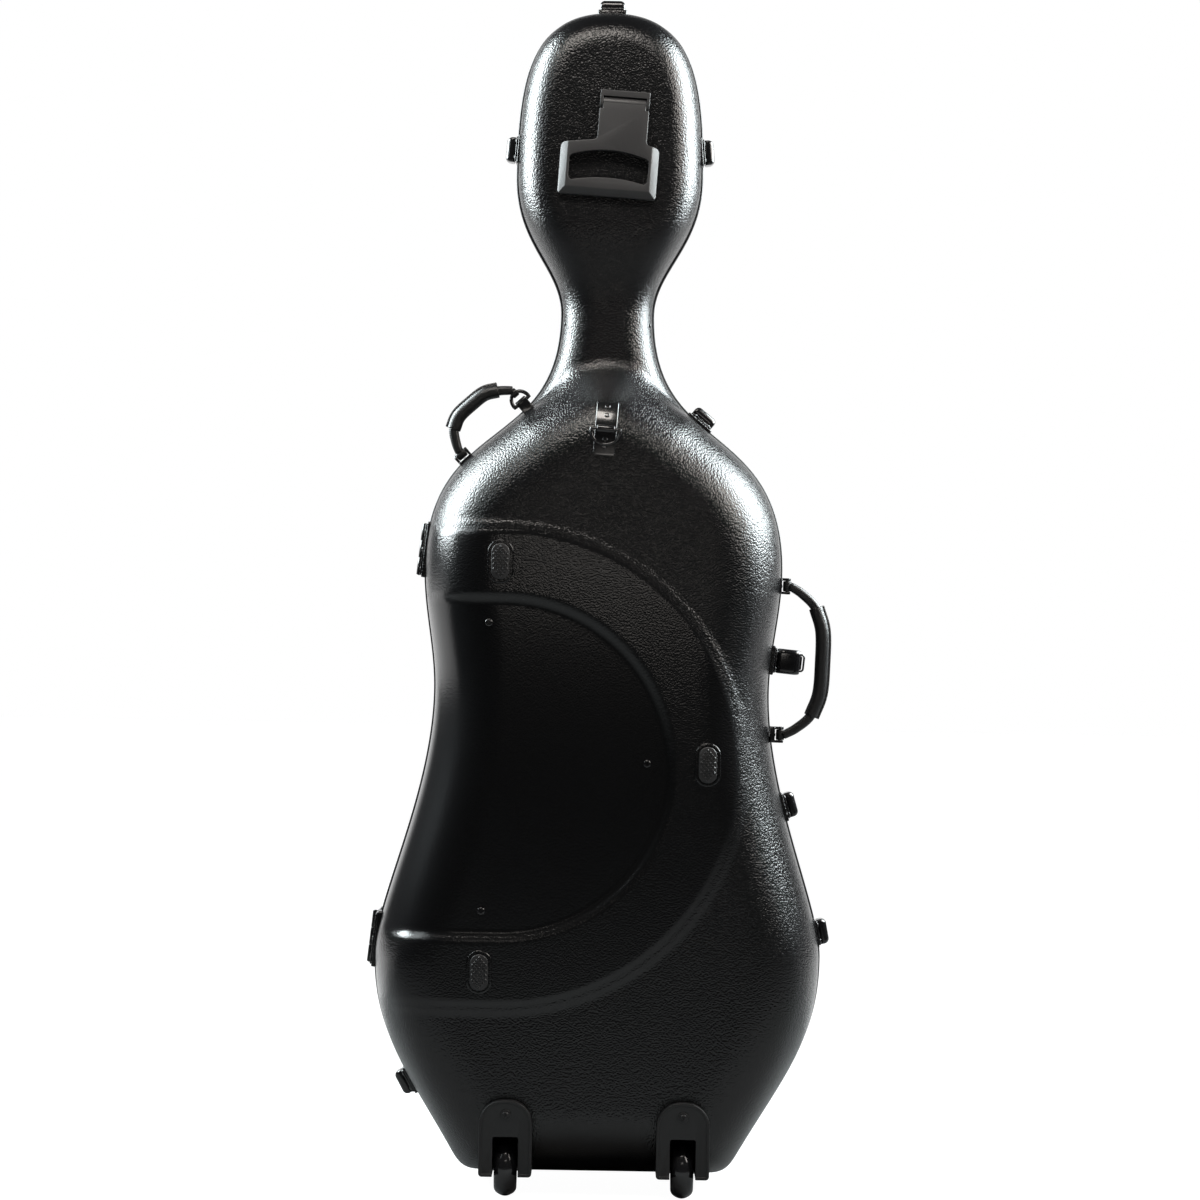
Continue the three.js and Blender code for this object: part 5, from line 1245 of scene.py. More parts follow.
def make_keeper():
    """The plate on the lid, with its tongue and the hook at the tongue's end."""
    keeper = plate("keeper", rounded_rectangle(24, 10.2, 2, centre=(0, 24.9)), PLATE_LOW, KEEPER_TOP, 0.5)
    tongue_outline = rounded_rectangle(TONGUE_WIDTH, 12.2, 1, 2, (0, 15.8))
    tongue = plate("tongue", tongue_outline, PLATE_LOW, KEEPER_TOP, 0.4)
    hook = rod("hook", 1.0, TONGUE_WIDTH, at=(0, HOOK_REACH, PLATE_LOW + 2.0), bevel=0.4, sides=20)
    curl_outline = rounded_rectangle(TONGUE_WIDTH, 2, 0.4, 2, (0, HOOK_REACH))
    curl = plate("curl", curl_outline, PLATE_LOW, PLATE_LOW + 2.0)
    keeper = join(keeper, tongue, hook, curl)
    for x in (-7.5, 7.5):
        keeper = place_screw(keeper, (x, 25.5, KEEPER_TOP), 2.2)
    return keeper


base_master = make_base()
keeper_master = make_keeper()
print("faces of base and keeper", len(base_master.data.polygons), len(keeper_master.data.polygons))

# %% [markdown]
# Under each latch both walls are raised to a flat boss, so that the plates have a level seat on the
# curved shell. All eight latches are copies of the three drawings, and the joint of each says where
# they go. The one at the side stands open, as photographed.

# %% Latches in their places
LATCHES = ["top", "head_left", "head_right", "shoulder", "side", "waist", "lower", "base_left"]
BOSS_MARGIN, BOSS_REACH = 2.5, 33


def latch_places(name):
    """The matrices of a latch: of its place on the outline, and of its lever about the pivot."""
    joint = joints[f"latch_{name}_pivot"]
    lever_place = axes_frame(joint["pos_m"], joint["axis"])
    seat = lever_place @ Matrix.Translation((0, PIVOT_BACK, -PIVOT_STAND))
    if name == "side":
        lever_place = lever_place @ Matrix.Rotation(math.radians(90), 4, "X")
    return seat, lever_place


def boss(name, width, matrix, side, stand=BOSS_STAND, depth=6.0):
    """A flat-faced raised seat on the wall of one half: side is -1 on the back, 1 on the lid."""
    seat_outline = rounded_rectangle(width, BOSS_REACH - EDGE, 2.5, centre=(0, side * (EDGE + BOSS_REACH) / 2))
    raised = plate(name, seat_outline, -depth, stand, 1.2)
    body = "back" if side < 0 else "lid"
    return finish_piece(settle(raised, matrix), body, "shell", shell_plastic, f"{body}_shell")


for name in LATCHES:
    seat, lever_place = latch_places(name)
    for side, half in ((-1, "back"), (1, "lid")):
        boss(f"latch_{name}_{half}_boss", LATCH_WIDTH + 2 * BOSS_MARGIN, seat, side)
    for master, part, body, matrix in (
        (lever_master, "lever", f"latch_{name}_lever", lever_place),
        (base_master, "base", "back", seat),
        (keeper_master, "keeper", "lid", seat),
    ):
        piece = settle(copy_of(master, f"latch_{name}_{part}_dressed"), matrix)
        finish_piece(piece, body, "metal", black_metal, f"latch_{name}_{part}")
for master in (lever_master, base_master, keeper_master):
    bpy.data.objects.remove(master)

# %% [markdown]
# ## Hinges
#
# Two butt hinges on the left edge carry the lid. Each leaf is bent round the pin into knuckles, the
# outer two on the back and the middle one on the lid, and is held by three screws.

# %% Hinges
HINGE_LENGTH, KNUCKLE, PIN, LEAF_LOW, LEAF_TOP = 60, 3.2, 1.6, -3.7, -1.9
lid_joint = joints["lid_hinge"]


def hinge_leaf(name, side):
    """A leaf with its knuckles round the x axis: side is -1 on the back, 1 on the lid."""
    third = HINGE_LENGTH / 3
    knuckle_length = third - 0.3
    leaf_outline = rounded_rectangle(HINGE_LENGTH, 26.5, 3, centre=(0, side * 16.75))
    leaf = plate(name, leaf_outline, LEAF_LOW, LEAF_TOP, 0.5)
    for x in ((0,) if side > 0 else (-third, third)):
        strip_outline = rounded_rectangle(knuckle_length, 5, 0.3, 2, (x, side * 2.6))
        strip = plate("strip", strip_outline, LEAF_LOW + 0.5, LEAF_TOP)
        leaf = join(leaf, strip, rod("knuckle", KNUCKLE, knuckle_length, at=(x, 0, 0), bevel=0.4))
    if side < 0:
        leaf = join(leaf, rod("pin", PIN + 0.4, HINGE_LENGTH + 1.2, bevel=0.5, sides=20))
    for x, y in ((-22, 12), (22, 12), (0, 22)):
        leaf = place_screw(leaf, (x, side * y, LEAF_TOP), 2.7)
    return leaf


for name in ("lower", "upper"):
    low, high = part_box(f"hinge_{name}_lid_leaf")
    along = ((low.z + high.z) / 2 - lid_joint["pos_m"][2]) / lid_joint["axis"][2]
    centre = Vector(lid_joint["pos_m"]) + Vector(lid_joint["axis"]) * along
    place = axes_frame(centre, lid_joint["axis"])
    for side, half in ((-1, "back"), (1, "lid")):
        boss(f"hinge_{name}_{half}_boss", HINGE_LENGTH + 2 * BOSS_MARGIN, place, side, -4.0, 10.0)
        piece = settle(hinge_leaf(f"hinge_{name}_{half}", side), place)
        finish_piece(piece, half, "metal", black_metal, f"hinge_{name}_{half}_leaf")

# %% [markdown]
# ## Leather handles
#
# A carrying handle is a stitched leather strap over a cord. It loops round a steel bar at each end,
# and a sleeve is wrapped round its middle and sewn along the outer side, which leaves a raised seam
# with a row of stitches on both faces. The bars sit in staples that are screwed to the case.

# %% Paths and stitches
def smooth_path(points, steps=8):
    """A curve through the points, with rounded turns at each of them (Catmull-Rom)."""
    points = np.array(points, float)
    padded = np.concatenate([2 * points[:1] - points[1:2], points, 2 * points[-1:] - points[-2:-1]])
    t = np.linspace(0, 1, steps, endpoint=False)[:, None]
    parts = []
    for a, b, c, d in zip(padded, padded[1:], padded[2:], padded[3:]):
        square, cube = 2 * a - 5 * b + 4 * c - d, 3 * b - a - 3 * c + d
        parts.append(0.5 * (2 * b + (c - a) * t + square * t**2 + cube * t**3))
    return np.concatenate([*parts, points[-1:]])


def evenly(path, pitch, margin=0.0):
    """Places along a path, a pitch apart, with the direction of the path at each."""
    length = np.concatenate([[0], np.cumsum(np.linalg.norm(np.diff(path, axis=0), axis=1))])
    at = np.arange(margin, length[-1] - margin, pitch)
    places = np.stack([np.interp(at, length, path[:, i]) for i in range(3)], axis=1)
    ahead = np.stack([np.interp(at + pitch / 10, length, path[:, i]) for i in range(3)], axis=1)
    return [(Vector(a), (Vector(b) - Vector(a)).normalized()) for a, b in zip(places, ahead)]


def stitches(name, path, side, offset, pitch=4.2, length=2.9, radius=0.38, margin=2.0):
    """A row of short threads beside a path, offset outward and sideways from it."""
    side = Vector(side)
    first = rod(f"{name}_stitch", radius, length, "Z", sides=6, bevel=radius * 0.5)
    copies = []
    for place, along in evenly(path, pitch, margin):
        outward = along.cross(side)
        twin = copy_of(first, "stitch_copy")
        turn = along.to_track_quat("Z", "Y").to_matrix().to_4x4()
        spot = place + outward * offset[0] + side * offset[1]
        twin.data.transform(Matrix.Translation(spot) @ turn)
        copies.append(twin)
    bpy.data.objects.remove(first)
    row = join(*copies)
    row.name = name
    return row


print("places 5 mm apart on a path of 50 mm", len(evenly(smooth_path([(0, 0, 0), (25, 0, 0), (50, 0, 0)]), 5)))

# %% [markdown]
# The strap is widest in the middle, and the sleeve is a tube with a flat seam on its outer side. Both
# follow a path through a few points of the grip, given as shares of its half length and its rise.

# %% Strap, sleeve and seam of a handle
GRIP_POINTS = [(-0.9, 0.42), (-0.72, 0.78), (-0.42, 0.97), (0, 1), (0.42, 0.97), (0.72, 0.78), (0.9, 0.42)]
SLEEVE = [*arc(8.0, 14, 346, 26), (9.4, -1.5), (10.2, -1.1), (10.2, 1.1), (9.4, 1.5)]
SEAM_OUT, SEAM_SIDE = 9.2, 1.5
STRAP_SECTION = rounded_rectangle(11.5, 12.5, 4.5, 5)
STRAP_RISE, EYE_RADIUS, EYE_LENGTH, RING_EYE_LENGTH = 4.2, 5.0, 12, 8
ACROSS = (0, 1, 0)


def handle_pieces(half, rise, last_lift=0.0):
    """The strap with its two eyes, the sleeve, and the path of the sleeve, about the line of the bars."""
    points = [(a * half, 0, b * rise) for a, b in GRIP_POINTS]
    if last_lift:
        points = points[:-1]
    path = smooth_path([(-half, 0, STRAP_RISE), *points, (half, 0, last_lift + STRAP_RISE)], 6)
    swell = 0.84 + 0.16 * np.sin(np.linspace(0, math.pi, len(path))) ** 0.5
    strap = swept("strap", path, STRAP_SECTION, ACROSS, cap=1.0, scale=[(k, 0.8 + 0.2 * k) for k in swell])
    for x, lift in ((-half, 0), (half, last_lift)):
        length = RING_EYE_LENGTH if lift else EYE_LENGTH
        strap = join(strap, rod("eye", EYE_RADIUS, length, at=(x, 0, lift), bevel=1.3))
    middle = smooth_path([point for point in points[1:] if point[0] <= 0.72 * half], 6)
    sleeve = swept("sleeve", middle, SLEEVE, ACROSS, cap=0.9)
    return strap, sleeve, middle


def dress_handle(name, place, half, rise, last_lift=0.0):
    """One handle in its place: the leather in one piece, and a row of stitches on each face."""
    strap, sleeve, middle = handle_pieces(half, rise, last_lift)
    piece = settle(join(strap, sleeve), place, 50)
    piece.name = f"{name}_leather"
    finish_piece(piece, name, "leather", leather, name)
    for face, sign in (("back", -1), ("front", 1)):
        row = stitches(f"{name}_seam_{face}", middle, ACROSS, (SEAM_OUT, sign * SEAM_SIDE))
        finish_piece(settle(row, place), name, "leather", thread, name)


print("points round the sleeve with its seam", len(SLEEVE))

# %% [markdown]
# A staple is a small cast base with two ears and a bar between them, fixed with two screws. The
# handles' lengths come from where their staples sit on the outline, as in the CAD model.

# %% Staples and their bars
BAR_STAND, BAR_RADIUS, BAR_LENGTH, EAR_SHIFT = 8, 2.4, 18.9, 7.8


def staple(name, place, x, node):
    """A base with two ears and a bar along x; its drawing is centred on the bar."""
    base_outline = rounded_rectangle(18.6, 16, 2.5, centre=(x, 0))
    base = plate("staple_base", base_outline, -BAR_STAND - 4, -BAR_STAND + 1.6, 0.7)
    ear_outline = [(-6.5, -BAR_STAND), (6.5, -BAR_STAND), (4.6, 1.5), *arc(3.9, 20, 160, 8), (-4.6, 1.5)]
    for side in (-1, 1):
        ear = plate("ear", ear_outline, -1.5, 1.5, 0.5)
        base = join(base, turned(ear, (90, "Z"), (90, "X"), move=(x + side * EAR_SHIFT, 0, 0)))
    base = join(base, rod("bar", BAR_RADIUS, BAR_LENGTH, at=(x, 0, 0), bevel=0.5))
    for side in (-1, 1):
        base = place_screw(base, (x, side * 5.6, -BAR_STAND + 1.6), 1.8)
    base.name = name
    return finish_piece(settle(base, place), "back", "metal", black_metal, node)


def side_at(level):
    """Half width of the outline at a level above the lower bout."""
    right = (mould["x"] > 0) & (mould["z"] < HEAD[1]) & (mould["z"] > LOWER_BOUT[1] - 10)
    return float(np.interp(level, mould["z"][right], mould["x"][right]))


def half_between(low, high):
    """Half the distance between two places on the outline, given by their levels."""
    return math.hypot(side_at(high) - side_at(low), high - low) / 2


def level_between(low, high, share):
    """A level a share of the way between two landmarks of the outline."""
    return low[1] + share * (high[1] - low[1])


side_half = half_between(level_between(LOWER_BOUT, WAIST, 0.85), level_between(WAIST, UPPER_BOUT, 0.89))
shoulder_half = half_between(*[level_between(UPPER_BOUT, NECK, share) for share in (0.42, 0.625)])
print("handle half lengths", round(side_half, 1), round(shoulder_half, 1))

# %% [markdown]
# The side handle hangs between two staples on the right edge, so that the case can be carried flat.
# It is drawn about the line of its bars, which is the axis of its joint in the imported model.

# %% Side handle
SIDE_RISE = 44


def pivot_frame(name):
    """The frame of a packed joint: x along its axis."""
    return axes_frame(joints[name]["pos_m"], joints[name]["axis"])


side_place = pivot_frame("side_handle_pivot")
dress_handle("side_handle", side_place, side_half, SIDE_RISE)
for name, sign in (("upper", -1), ("lower", 1)):
    staple(f"side_staple_{name}", side_place, sign * side_half, f"side_handle_bracket_{name}")

# %% [markdown]
# The shoulder handle has a staple at its lower end only. Its upper end hangs in an oval steel ring,
# which turns in a short barrel on the case.

# %% Shoulder handle, ring and barrel
RING_WIDTH, RING_DEPTH, RING_WIRE = 26, 18, 2.2
SHOULDER_RISE = 36


def bow_ring(name, width, drop, wire, steps=28):
    """A closed ring of round wire: a straight bar along x and a bow that reaches out along z."""
    half = width / 2 - wire
    pull = (drop - 2 * wire) * 4 / 3
    bow = bezier([(-half, 0), (-half, pull), (half, pull), (half, 0)], steps)
    bar = [(half * share, 0) for share in np.linspace(0.8, -0.8, 9)]
    path = [(x, 0, z) for x, z in [*bow, *bar]]
    return swept(name, path, ring_section(wire, 16), ACROSS, closed=True)


shoulder_place = pivot_frame("shoulder_handle_pivot")
dress_handle("shoulder_handle", shoulder_place, shoulder_half, SHOULDER_RISE, RING_DEPTH - 2 * RING_WIRE)
staple("shoulder_staple", shoulder_place, -shoulder_half, "shoulder_handle_bracket_lower")
oval = turned(bow_ring("shoulder_ring", RING_WIDTH, RING_DEPTH, RING_WIRE), move=(shoulder_half, 0, 0))
finish_piece(settle(oval, shoulder_place), "shoulder_handle", "metal", black_metal, "shoulder_handle_ring")
barrel = rod("shoulder_barrel", RING_WIRE + 2, 14, at=(shoulder_half, 0, 0), bevel=0.7)
foot = plate("barrel_foot", rounded_rectangle(14, 8.4, 1.5, centre=(shoulder_half, 0)), -BAR_STAND - 6, 0, 0.6)
barrel = join(barrel, foot)
finish_piece(settle(barrel, shoulder_place), "back", "metal", black_metal, "shoulder_handle_bracket_upper")

# %% [markdown]
# ## Strap plate
#
# A strip of steel, bent to the curve of the back and held by four rivets, carries a short tube in
# which a D ring swings. A shoulder strap hooks into the ring.

# %% Strap plate and D ring
ring_joint = joints["d_ring_pivot"]
strap_place = axes_frame(ring_joint["pos_m"], -Vector(ring_joint["axis"]))
BAR_DEPTH, STRIP_HALF, STRIP_THICKNESS, STRIP_WIDTH = 155.4, 29, 3.0, 24.6
STRAP_LEVEL = CREST_LEVEL - 0.6 * CREST_ARCH
RIVET_LEVELS = (23.7, 13.5, -11.3, -20.3)
levels = np.linspace(-STRIP_HALF, STRIP_HALF, 25)
depths, _ = depth_at(BACK, mould, np.zeros(len(levels)), STRAP_LEVEL + levels)
strip_surface = np.stack([np.zeros(len(levels)), BAR_DEPTH - depths, levels], axis=1)
strip_slope = np.gradient(strip_surface, axis=0)
strip_normal = np.cross(strip_slope, (1, 0, 0))
strip_normal /= np.linalg.norm(strip_normal, axis=1)[:, None]
strip_normal *= -np.sign(strip_normal[:, 1:2])
strip_path = strip_surface + 1.8 * strip_normal

strip_section = rounded_rectangle(STRIP_THICKNESS, STRIP_WIDTH, 0.9, 4)
strip = swept("strap_plate_strip", strip_path, strip_section, (1, 0, 0), cap=0.8)
tube = rod("strap_tube", 4.5, 20, bevel=0.8)
web = turned(plate("strap_web", rounded_rectangle(20, 8.6, 1, 3), 0, 4.5), (-90, "X"))
strip = join(strip, tube, web)
for level in RIVET_LEVELS:
    i = int(np.argmin(np.abs(levels - level)))
    tilt = math.degrees(math.atan2(strip_normal[i][2], -strip_normal[i][1]))
    spot = strip_surface[i] + 3.2 * strip_normal[i]
    strip = join(strip, turned(domed("rivet", 3.0, 2.4, 1.1), (90 - tilt, "X"), move=tuple(spot)))
finish_piece(settle(strip, strap_place), "back", "metal", black_metal, "strap_plate")
d_ring = turned(bow_ring("d_ring_wire", 37, 21, 1.8), (180, "X"))
finish_piece(settle(d_ring, strap_place), "d_ring", "metal", black_metal, "d_ring")

# %% [markdown]
# ## Tow handle
#
# The grip for pulling the case along folds down flat over the back of the head. It is one thick
# moulding of satin plastic, a stem that widens into a frame with an arched window for the fingers.
# It is cut from a slab: the front outline, then broad slopes on both sides and below, then the
# window, and last all its edges are rounded.

# %% Outline of the tow handle
tow_joint = joints["tow_handle_pivot"]
tow_place = axes_frame(tow_joint["pos_m"], -Vector(tow_joint["axis"]))
STEM_HALF, STEM_TOP, STEM_END, ROOT_HALF = 28.3, -7.3, -44.5, 24.6
FRAME_HALF, FRAME_SHIFT, FRAME_LOW = 56.5, -12.9, -107.5
TOW_HALF_DEPTH, SLOPE_FOOT, SLOPE_WIDTH = 6.5, -6.6, 8.5
WINDOW_HALF, WINDOW_SIDE, WINDOW_TOP, WINDOW_LOW = 42, 45.5, -62, -91.5


def standing(piece):
    """A drawing made in x and y stands up in x and z, with its height along -y."""
    return turned(piece, (90, "X"))


def across(piece, shift=0):
    """A drawing of y and z made in x and y is laid across, with its height along x."""
    piece.data.transform(Matrix(((0, 0, 1, shift), (1, 0, 0, 0), (0, 1, 0, 0), (0, 0, 0, 1))))
    return piece


def tow_outline():
    """The grip seen from the front: the stem, its two fillets and the wide frame."""
    left, right = FRAME_SHIFT - FRAME_HALF, FRAME_SHIFT + FRAME_HALF
    top = [(STEM_HALF, STEM_TOP), (ROOT_HALF, STEM_TOP), (ROOT_HALF, 0)]
    turns = [(4 * math.cos(a), 4 * math.sin(a)) for a in np.radians((0, 30, 60))]
    return [
        *top, *[(-x, z) for x, z in reversed(top)],
        *[(-STEM_HALF - 4 + x, STEM_END + 5 - z) for x, z in turns],
        (-STEM_HALF - 5, STEM_END + 0.7), (left + 14, STEM_END - 2.5),
        *arc(6, 95, 180, 4, (left + 6, STEM_END - 9.5)),
        *arc(4, 180, 270, 4, (left + 4, FRAME_LOW + 4)),
        *arc(4, 270, 360, 4, (right - 4, FRAME_LOW + 4)),
        *arc(6, 0, 85, 4, (right - 6, STEM_END - 9.5)),
        (STEM_HALF + 5, STEM_END - 2.6),
        *[(STEM_HALF + 4 - x, STEM_END + 2 - z) for x, z in reversed(turns)],
    ]


print("points in the outline of the grip", len(tow_outline()))

# %% [markdown]
# The slab is then cut to shape: one Boolean for the slopes at the sides, one for the slope below, and
# one for the window.

# %% Shaping the tow handle
def bowed(direction, level, height):
    """An arched edge of the window, drawn from left to right for 1 and back for -1."""
    shares = direction * np.linspace(-1, 1, 13)
    return [(FRAME_SHIFT + WINDOW_HALF * share, level + height * (1 - share**2)) for share in shares]


tow = standing(plate("tow_moulding", tow_outline(), -TOW_HALF_DEPTH, TOW_HALF_DEPTH))
far = FRAME_HALF + 1
half_slopes = [(far, 9), (far, 1.5), (far - SLOPE_WIDTH - 1, SLOPE_FOOT)]
side_slopes = [
    *[(FRAME_SHIFT - x, y) for x, y in half_slopes], *[(FRAME_SHIFT + x, y) for x, y in reversed(half_slopes)],
]
cut(tow, plate("side_slopes", side_slopes, -120, 10), "INTERSECT")
low_slope = [
    (9, FRAME_LOW - 1), (9, 10), (SLOPE_FOOT, 10), (SLOPE_FOOT, FRAME_LOW + SLOPE_WIDTH), (0.5, FRAME_LOW - 1),
]
cut(tow, across(plate("low_slope", low_slope, -90, 90)), "INTERSECT")
left, right = FRAME_SHIFT - WINDOW_SIDE, FRAME_SHIFT + WINDOW_SIDE
window = [
    *bowed(-1, WINDOW_TOP, 7), (left, -64.5), (left, -88),
    *bowed(1, WINDOW_LOW, 5), (right, -88), (right, -64.5),
]
cut(tow, standing(plate("window", window, -12, 12)))
soften(tow, 1.8, 4, 28)
tow = join(tow, rod("stem_barrel", TOW_HALF_DEPTH + 0.02, 2 * ROOT_HALF, bevel=0.6, sides=64))
finish_piece(settle(tow, tow_place, 30), "tow_handle", "moulded", moulded_plastic, "tow_handle")

# %% [markdown]
# The bracket that holds the grip is a cover with two half-round ears and a pin between them. The
# ears are one with the cover, so they are added to it with a Boolean.

# %% Bracket of the tow handle
BRACKET_BACK, EAR_THICKNESS, EAR_TOP = 7.5, 3.5, 14
cover = rounded_rectangle(2 * TOW_HALF_DEPTH + BRACKET_BACK, 7.2, 0.8, 3, (BRACKET_BACK / 2, 10.4))
rear = TOW_HALF_DEPTH + BRACKET_BACK
ear_side = [*arc(TOW_HALF_DEPTH, 180, 360, 16), (rear, 0), (rear, EAR_TOP), (-TOW_HALF_DEPTH, EAR_TOP)]
bracket = across(plate("tow_bracket_cover", cover, -STEM_HALF, STEM_HALF, 0.6))
for side in (-1, 1):
    ear = plate("tow_ear", ear_side, -EAR_THICKNESS / 2, EAR_THICKNESS / 2, 0.6)
    bracket = cut(bracket, across(ear, side * (STEM_HALF - EAR_THICKNESS / 2)), "UNION")
bracket = join(bracket, rod("tow_pin", 2.5, 53, bevel=0.4, sides=24))
finish_piece(settle(bracket, tow_place), "back", "moulded", moulded_plastic, "tow_bracket")

# %% [markdown]
# ## Wheels
#
# Two skate wheels at the foot of the back let the case roll when it is tipped. Each runs on an axle
# in a housing of moulded plastic, an arched block with a raised edge and a slot, let into the
# shell. A wheel is a turned form: one profile carried round the axle.

# %% Drawing of a wheel housing
WHEEL_SPACING, WHEEL_RADIUS, WHEEL_DEPTH = 200, 32, 128
HOUSING_HALF, HOUSING_TOP, HOUSING_BOTTOM, HOUSING_FACE, HOUSING_BACK = 30, 112, 26, 162, 88
HOUSING_ARCH, SLOT_WIDTH, SLOT_TOP, SLOT_END, HOUSING_SCREW = 27, 29, 71, 92, 96
OPENING_GAP = 0.4


def arched(half, top, bottom, arch, corner=4.0):
    """The outline of a block with small corners below and large ones above."""
    return [
        *arc(corner, 180, 270, 4, (corner - half, bottom + corner)),
        *arc(corner, 270, 360, 4, (half - corner, bottom + corner)),
        *arc(arch, 0, 90, 10, (half - arch, top - arch)), *arc(arch, 90, 180, 10, (arch - half, top - arch)),
    ]


def make_housing():
    """A block with a raised edge round its face, the slot for the wheel, and a screw on a washer."""
    block_outline = arched(HOUSING_HALF, HOUSING_TOP, HOUSING_BOTTOM, HOUSING_ARCH)
    block = plate("housing", block_outline, HOUSING_BACK, HOUSING_FACE)
    edit(block)
    pick_faces(block, lambda centre, normal: normal.z > 0.9)
    bpy.ops.mesh.inset(thickness=3.2)
    bpy.ops.mesh.extrude_region_move(TRANSFORM_OT_translate={"value": (0, 0, -1.0)})
    bpy.ops.object.mode_set(mode="OBJECT")
    slot = rounded_rectangle(SLOT_WIDTH, 90, 2.5, 4, (0, SLOT_TOP - 45))
    cut(block, plate("slot", slot, SLOT_END, HOUSING_FACE + 20))
    soften(block, 0.9, 3, 50)
    washer = rod("washer", 6.0, 1.6, "Z", at=(0, HOUSING_SCREW, HOUSING_FACE - 0.6), bevel=0.5)
    return place_screw(join(block, washer), (0, HOUSING_SCREW, HOUSING_FACE), 3.6)


print("slot from level", HOUSING_BOTTOM, "to", SLOT_TOP, "for a wheel of radius", WHEEL_RADIUS)

# %% [markdown]
# The wheel's profile has a hub, a recessed side and a rounded tread. The outline of the housing, a
# little larger, also cuts the opening for it into the shell and the lining.

# %% Wheels, axles and openings
def turned_form(name, profile, steps=72):
    """A closed profile of (radius, x) points carried round the x axis."""
    angles = np.linspace(0, 2 * math.pi, steps, endpoint=False)
    rows = [
        np.stack([np.full(steps, x), radius * np.cos(angles), radius * np.sin(angles)], axis=1)
        for radius, x in [*profile, profile[0]]
    ]
    return net(name, steps, rows)


hub_side = [(4.3, 13), (9.2, 13), (9.6, 12.6), (9.6, 11), (11.6, 10.6), (18, 10.2)]
tread = [
    (19, 10.2), (20.2, 11.6), (21.6, 12.4), (23.4, 12.7), (25.4, 12.0), (27.4, 10.6), (29.2, 8.4),
    (30.6, 5.8), (31.6, 3.0),
]
half_wheel = [*hub_side, *tread]
wheel_profile = [*half_wheel, (WHEEL_RADIUS, 0), *[(radius, -x) for radius, x in reversed(half_wheel)]]

for name, sign in (("left", -1), ("right", 1)):
    x = sign * WHEEL_SPACING / 2
    housing = turned(make_housing(), (90, "X"), move=(x, 0, 0))
    housing.name = f"housing_{name}"
    finish_piece(settle(housing, CASE), "back", "moulded", housing_plastic, f"wheel_housing_{name}")
    hub = turned(turned_form(f"wheel_{name}_turned", wheel_profile), move=(x, -WHEEL_DEPTH, WHEEL_RADIUS))
    finish_piece(settle(hub, CASE, 40), f"wheel_{name}", "tyre", wheel_tyre, f"wheel_{name}")
    axle = rod(f"axle_{name}", 3.8, 44.4, at=(x, -WHEEL_DEPTH, WHEEL_RADIUS), bevel=0.5)
    finish_piece(settle(axle, CASE), "back", "metal", bright_metal, f"wheel_axle_{name}")
    half, top, arch = (size + OPENING_GAP for size in (HOUSING_HALF, HOUSING_TOP, HOUSING_ARCH))
    opening = plate("opening", arched(half, top, -20, arch), HOUSING_BACK - OPENING_GAP, 190)
    turned(opening, (90, "X"), move=(x, 0, 0))
    opening.data.transform(CASE)
    cut(back_shell, copy_of(opening, "opening_tool"))
    cut(back_lining, opening)
    print("openings", name, len(back_shell.data.polygons), len(back_lining.data.polygons))

# %% [markdown]
# ## Front feet
#
# The case stands on its wheels and on two rubber feet below the lid. The top of each foot is moulded
# to the rounded underside, so its points there are raised until they lie just inside the wall.

# %% Front feet
FOOT_SPACING, FOOT_REACH, FOOT_SUNK, FOOT_MIDDLE = 190, 78, 1.2, 10
foot_profile = [(0.01, 0), (13.2, 0), (14.5, 0.5), (15, 1.6), (18, 20), (12, 20), (6, 20), (0.01, 20)]


def underside(depth):
    """The level of the lid's rounded underside at a depth from the seam."""
    share = ((depth - EDGE) / (LID["body"] - EDGE)) ** ROUNDING_POWER
    return BOTTOM[1] + BODY_ROUNDING * (1 - (1 - share) ** (1 / ROUNDING_POWER))


for name, sign in (("left", -1), ("right", 1)):
    rubber_foot = turned_form(f"foot_{name}", foot_profile, 48)
    turned(rubber_foot, (-90, "Y"), move=(sign * FOOT_SPACING / 2, FOOT_REACH, 0))
    for vertex in rubber_foot.data.vertices:
        if vertex.co.z > FOOT_MIDDLE:
            vertex.co.z = underside(vertex.co.y) + FOOT_SUNK
    finish_piece(settle(rubber_foot, CASE), "lid", "rubber", pad_rubber, f"front_foot_{name}")

# %% [markdown]
# ## Neck cradle
#
# The cello's neck rests in a foam block with a half-round saddle, which fills the narrow part of the
# back's lining. Its sections are drawn across the neck and follow the lining, and its edges are soft.

# %% Neck cradle
CRADLE_TOP, CRADLE_HALF, SADDLE, CRADLE_INSET = 12, 35, 26, 7.4


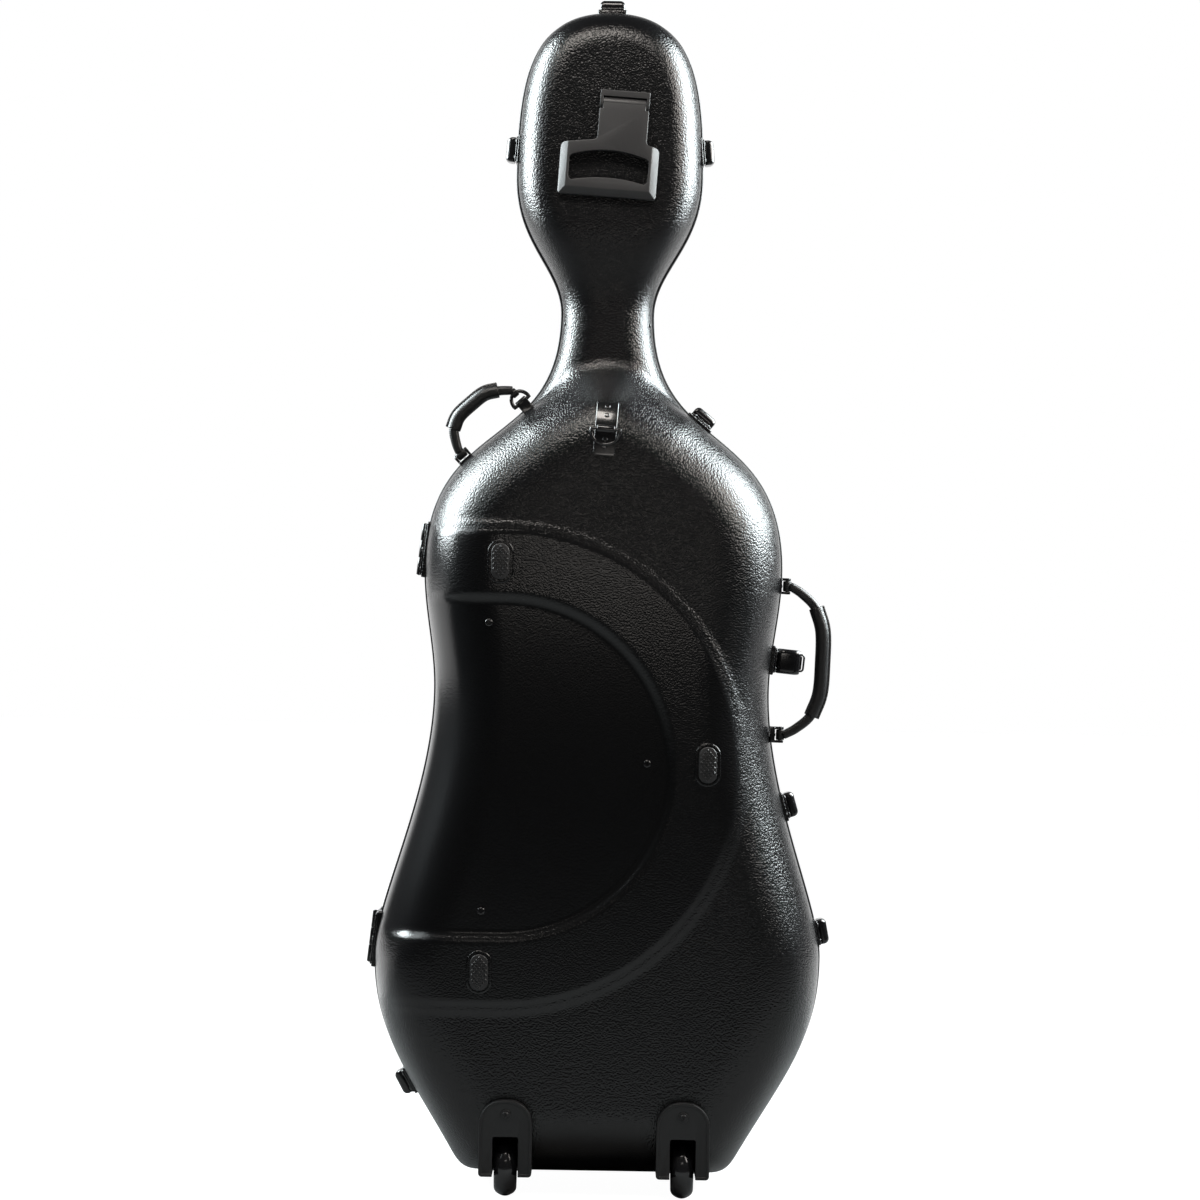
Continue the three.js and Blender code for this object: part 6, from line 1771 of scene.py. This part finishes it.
def cradle_ring(level, shrink):
    """A section of the block across the neck, drawn in towards its middle by a share."""
    width = side_at(level) - CRADLE_INSET - 0.3
    x = width * np.sin(np.linspace(math.pi / 2, -math.pi / 2, 40))
    under, _ = depth_at(BACK, mould, x, np.full(len(x), float(level)), CRADLE_INSET)
    low = [(px, -max(py, CRADLE_TOP + 1.5)) for px, py in zip(x, under)]
    angles = np.linspace(math.pi, 0, 20)
    saddle = [(SADDLE * math.cos(a), -CRADLE_TOP - SADDLE * math.sin(a)) for a in angles]
    edges = (1.5 - width, -SADDLE - 3, SADDLE + 3, width - 1.5)
    corners = [(edge, -CRADLE_TOP) for edge in edges]
    ring = np.array([*low, *corners[:2], *saddle, *corners[2:]])
    middle = ring.mean(axis=0)
    ring = middle + (ring - middle) * shrink
    return np.stack([ring[:, 0], ring[:, 1], np.full(len(ring), float(level))], axis=1)


cradle_end = [(CRADLE_HALF, 0.93), (CRADLE_HALF - 1.2, 0.97), (CRADLE_HALF - 4, 0.995), (18, 1)]
stations = [*[(-level, shrink) for level, shrink in cradle_end], (0, 1), *reversed(cradle_end)]
cradle = closed_net("cradle_block", [cradle_ring(NECK[1] + offset, shrink) for offset, shrink in stations])
finish_piece(settle(cradle, CASE, 60), "back", "lining", plush, "neck_cradle")

# %% [markdown]
# Two small rivets through the sides of the neck hold the cradle. Each stands square to the rounded
# wall, so its direction comes from the slope of the mould at that place.

# %% Rivets of the cradle
RIVET_LEVEL, RIVET_IN, RIVET_RADIUS = 996, 3.2, 2.6
for name, sign in (("left", -1), ("right", 1)):
    x = sign * (side_at(RIVET_LEVEL) - RIVET_IN)
    depths, _ = depth_at(BACK, mould, np.array([x - 0.3, x + 0.3]), np.full(2, float(RIVET_LEVEL)))
    out = Vector((-(depths[1] - depths[0]) / 0.6, -1, 0)).normalized()
    rivet = domed(f"cradle_rivet_{name}", RIVET_RADIUS, 3.0, 1.2)
    turn = out.to_track_quat("Z", "Y").to_matrix().to_4x4()
    rivet.data.transform(Matrix.Translation((x, -depths.mean(), RIVET_LEVEL)) @ turn)
    finish_piece(settle(rivet, CASE), "back", "metal", black_metal)
bpy.data.objects.remove(screw_master)

# %% [markdown]
# # The size that was reached
#
# Last, the box of everything visible is printed.

# %% Size and finish
low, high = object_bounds()
print("visual box", tuple(low), tuple(high))
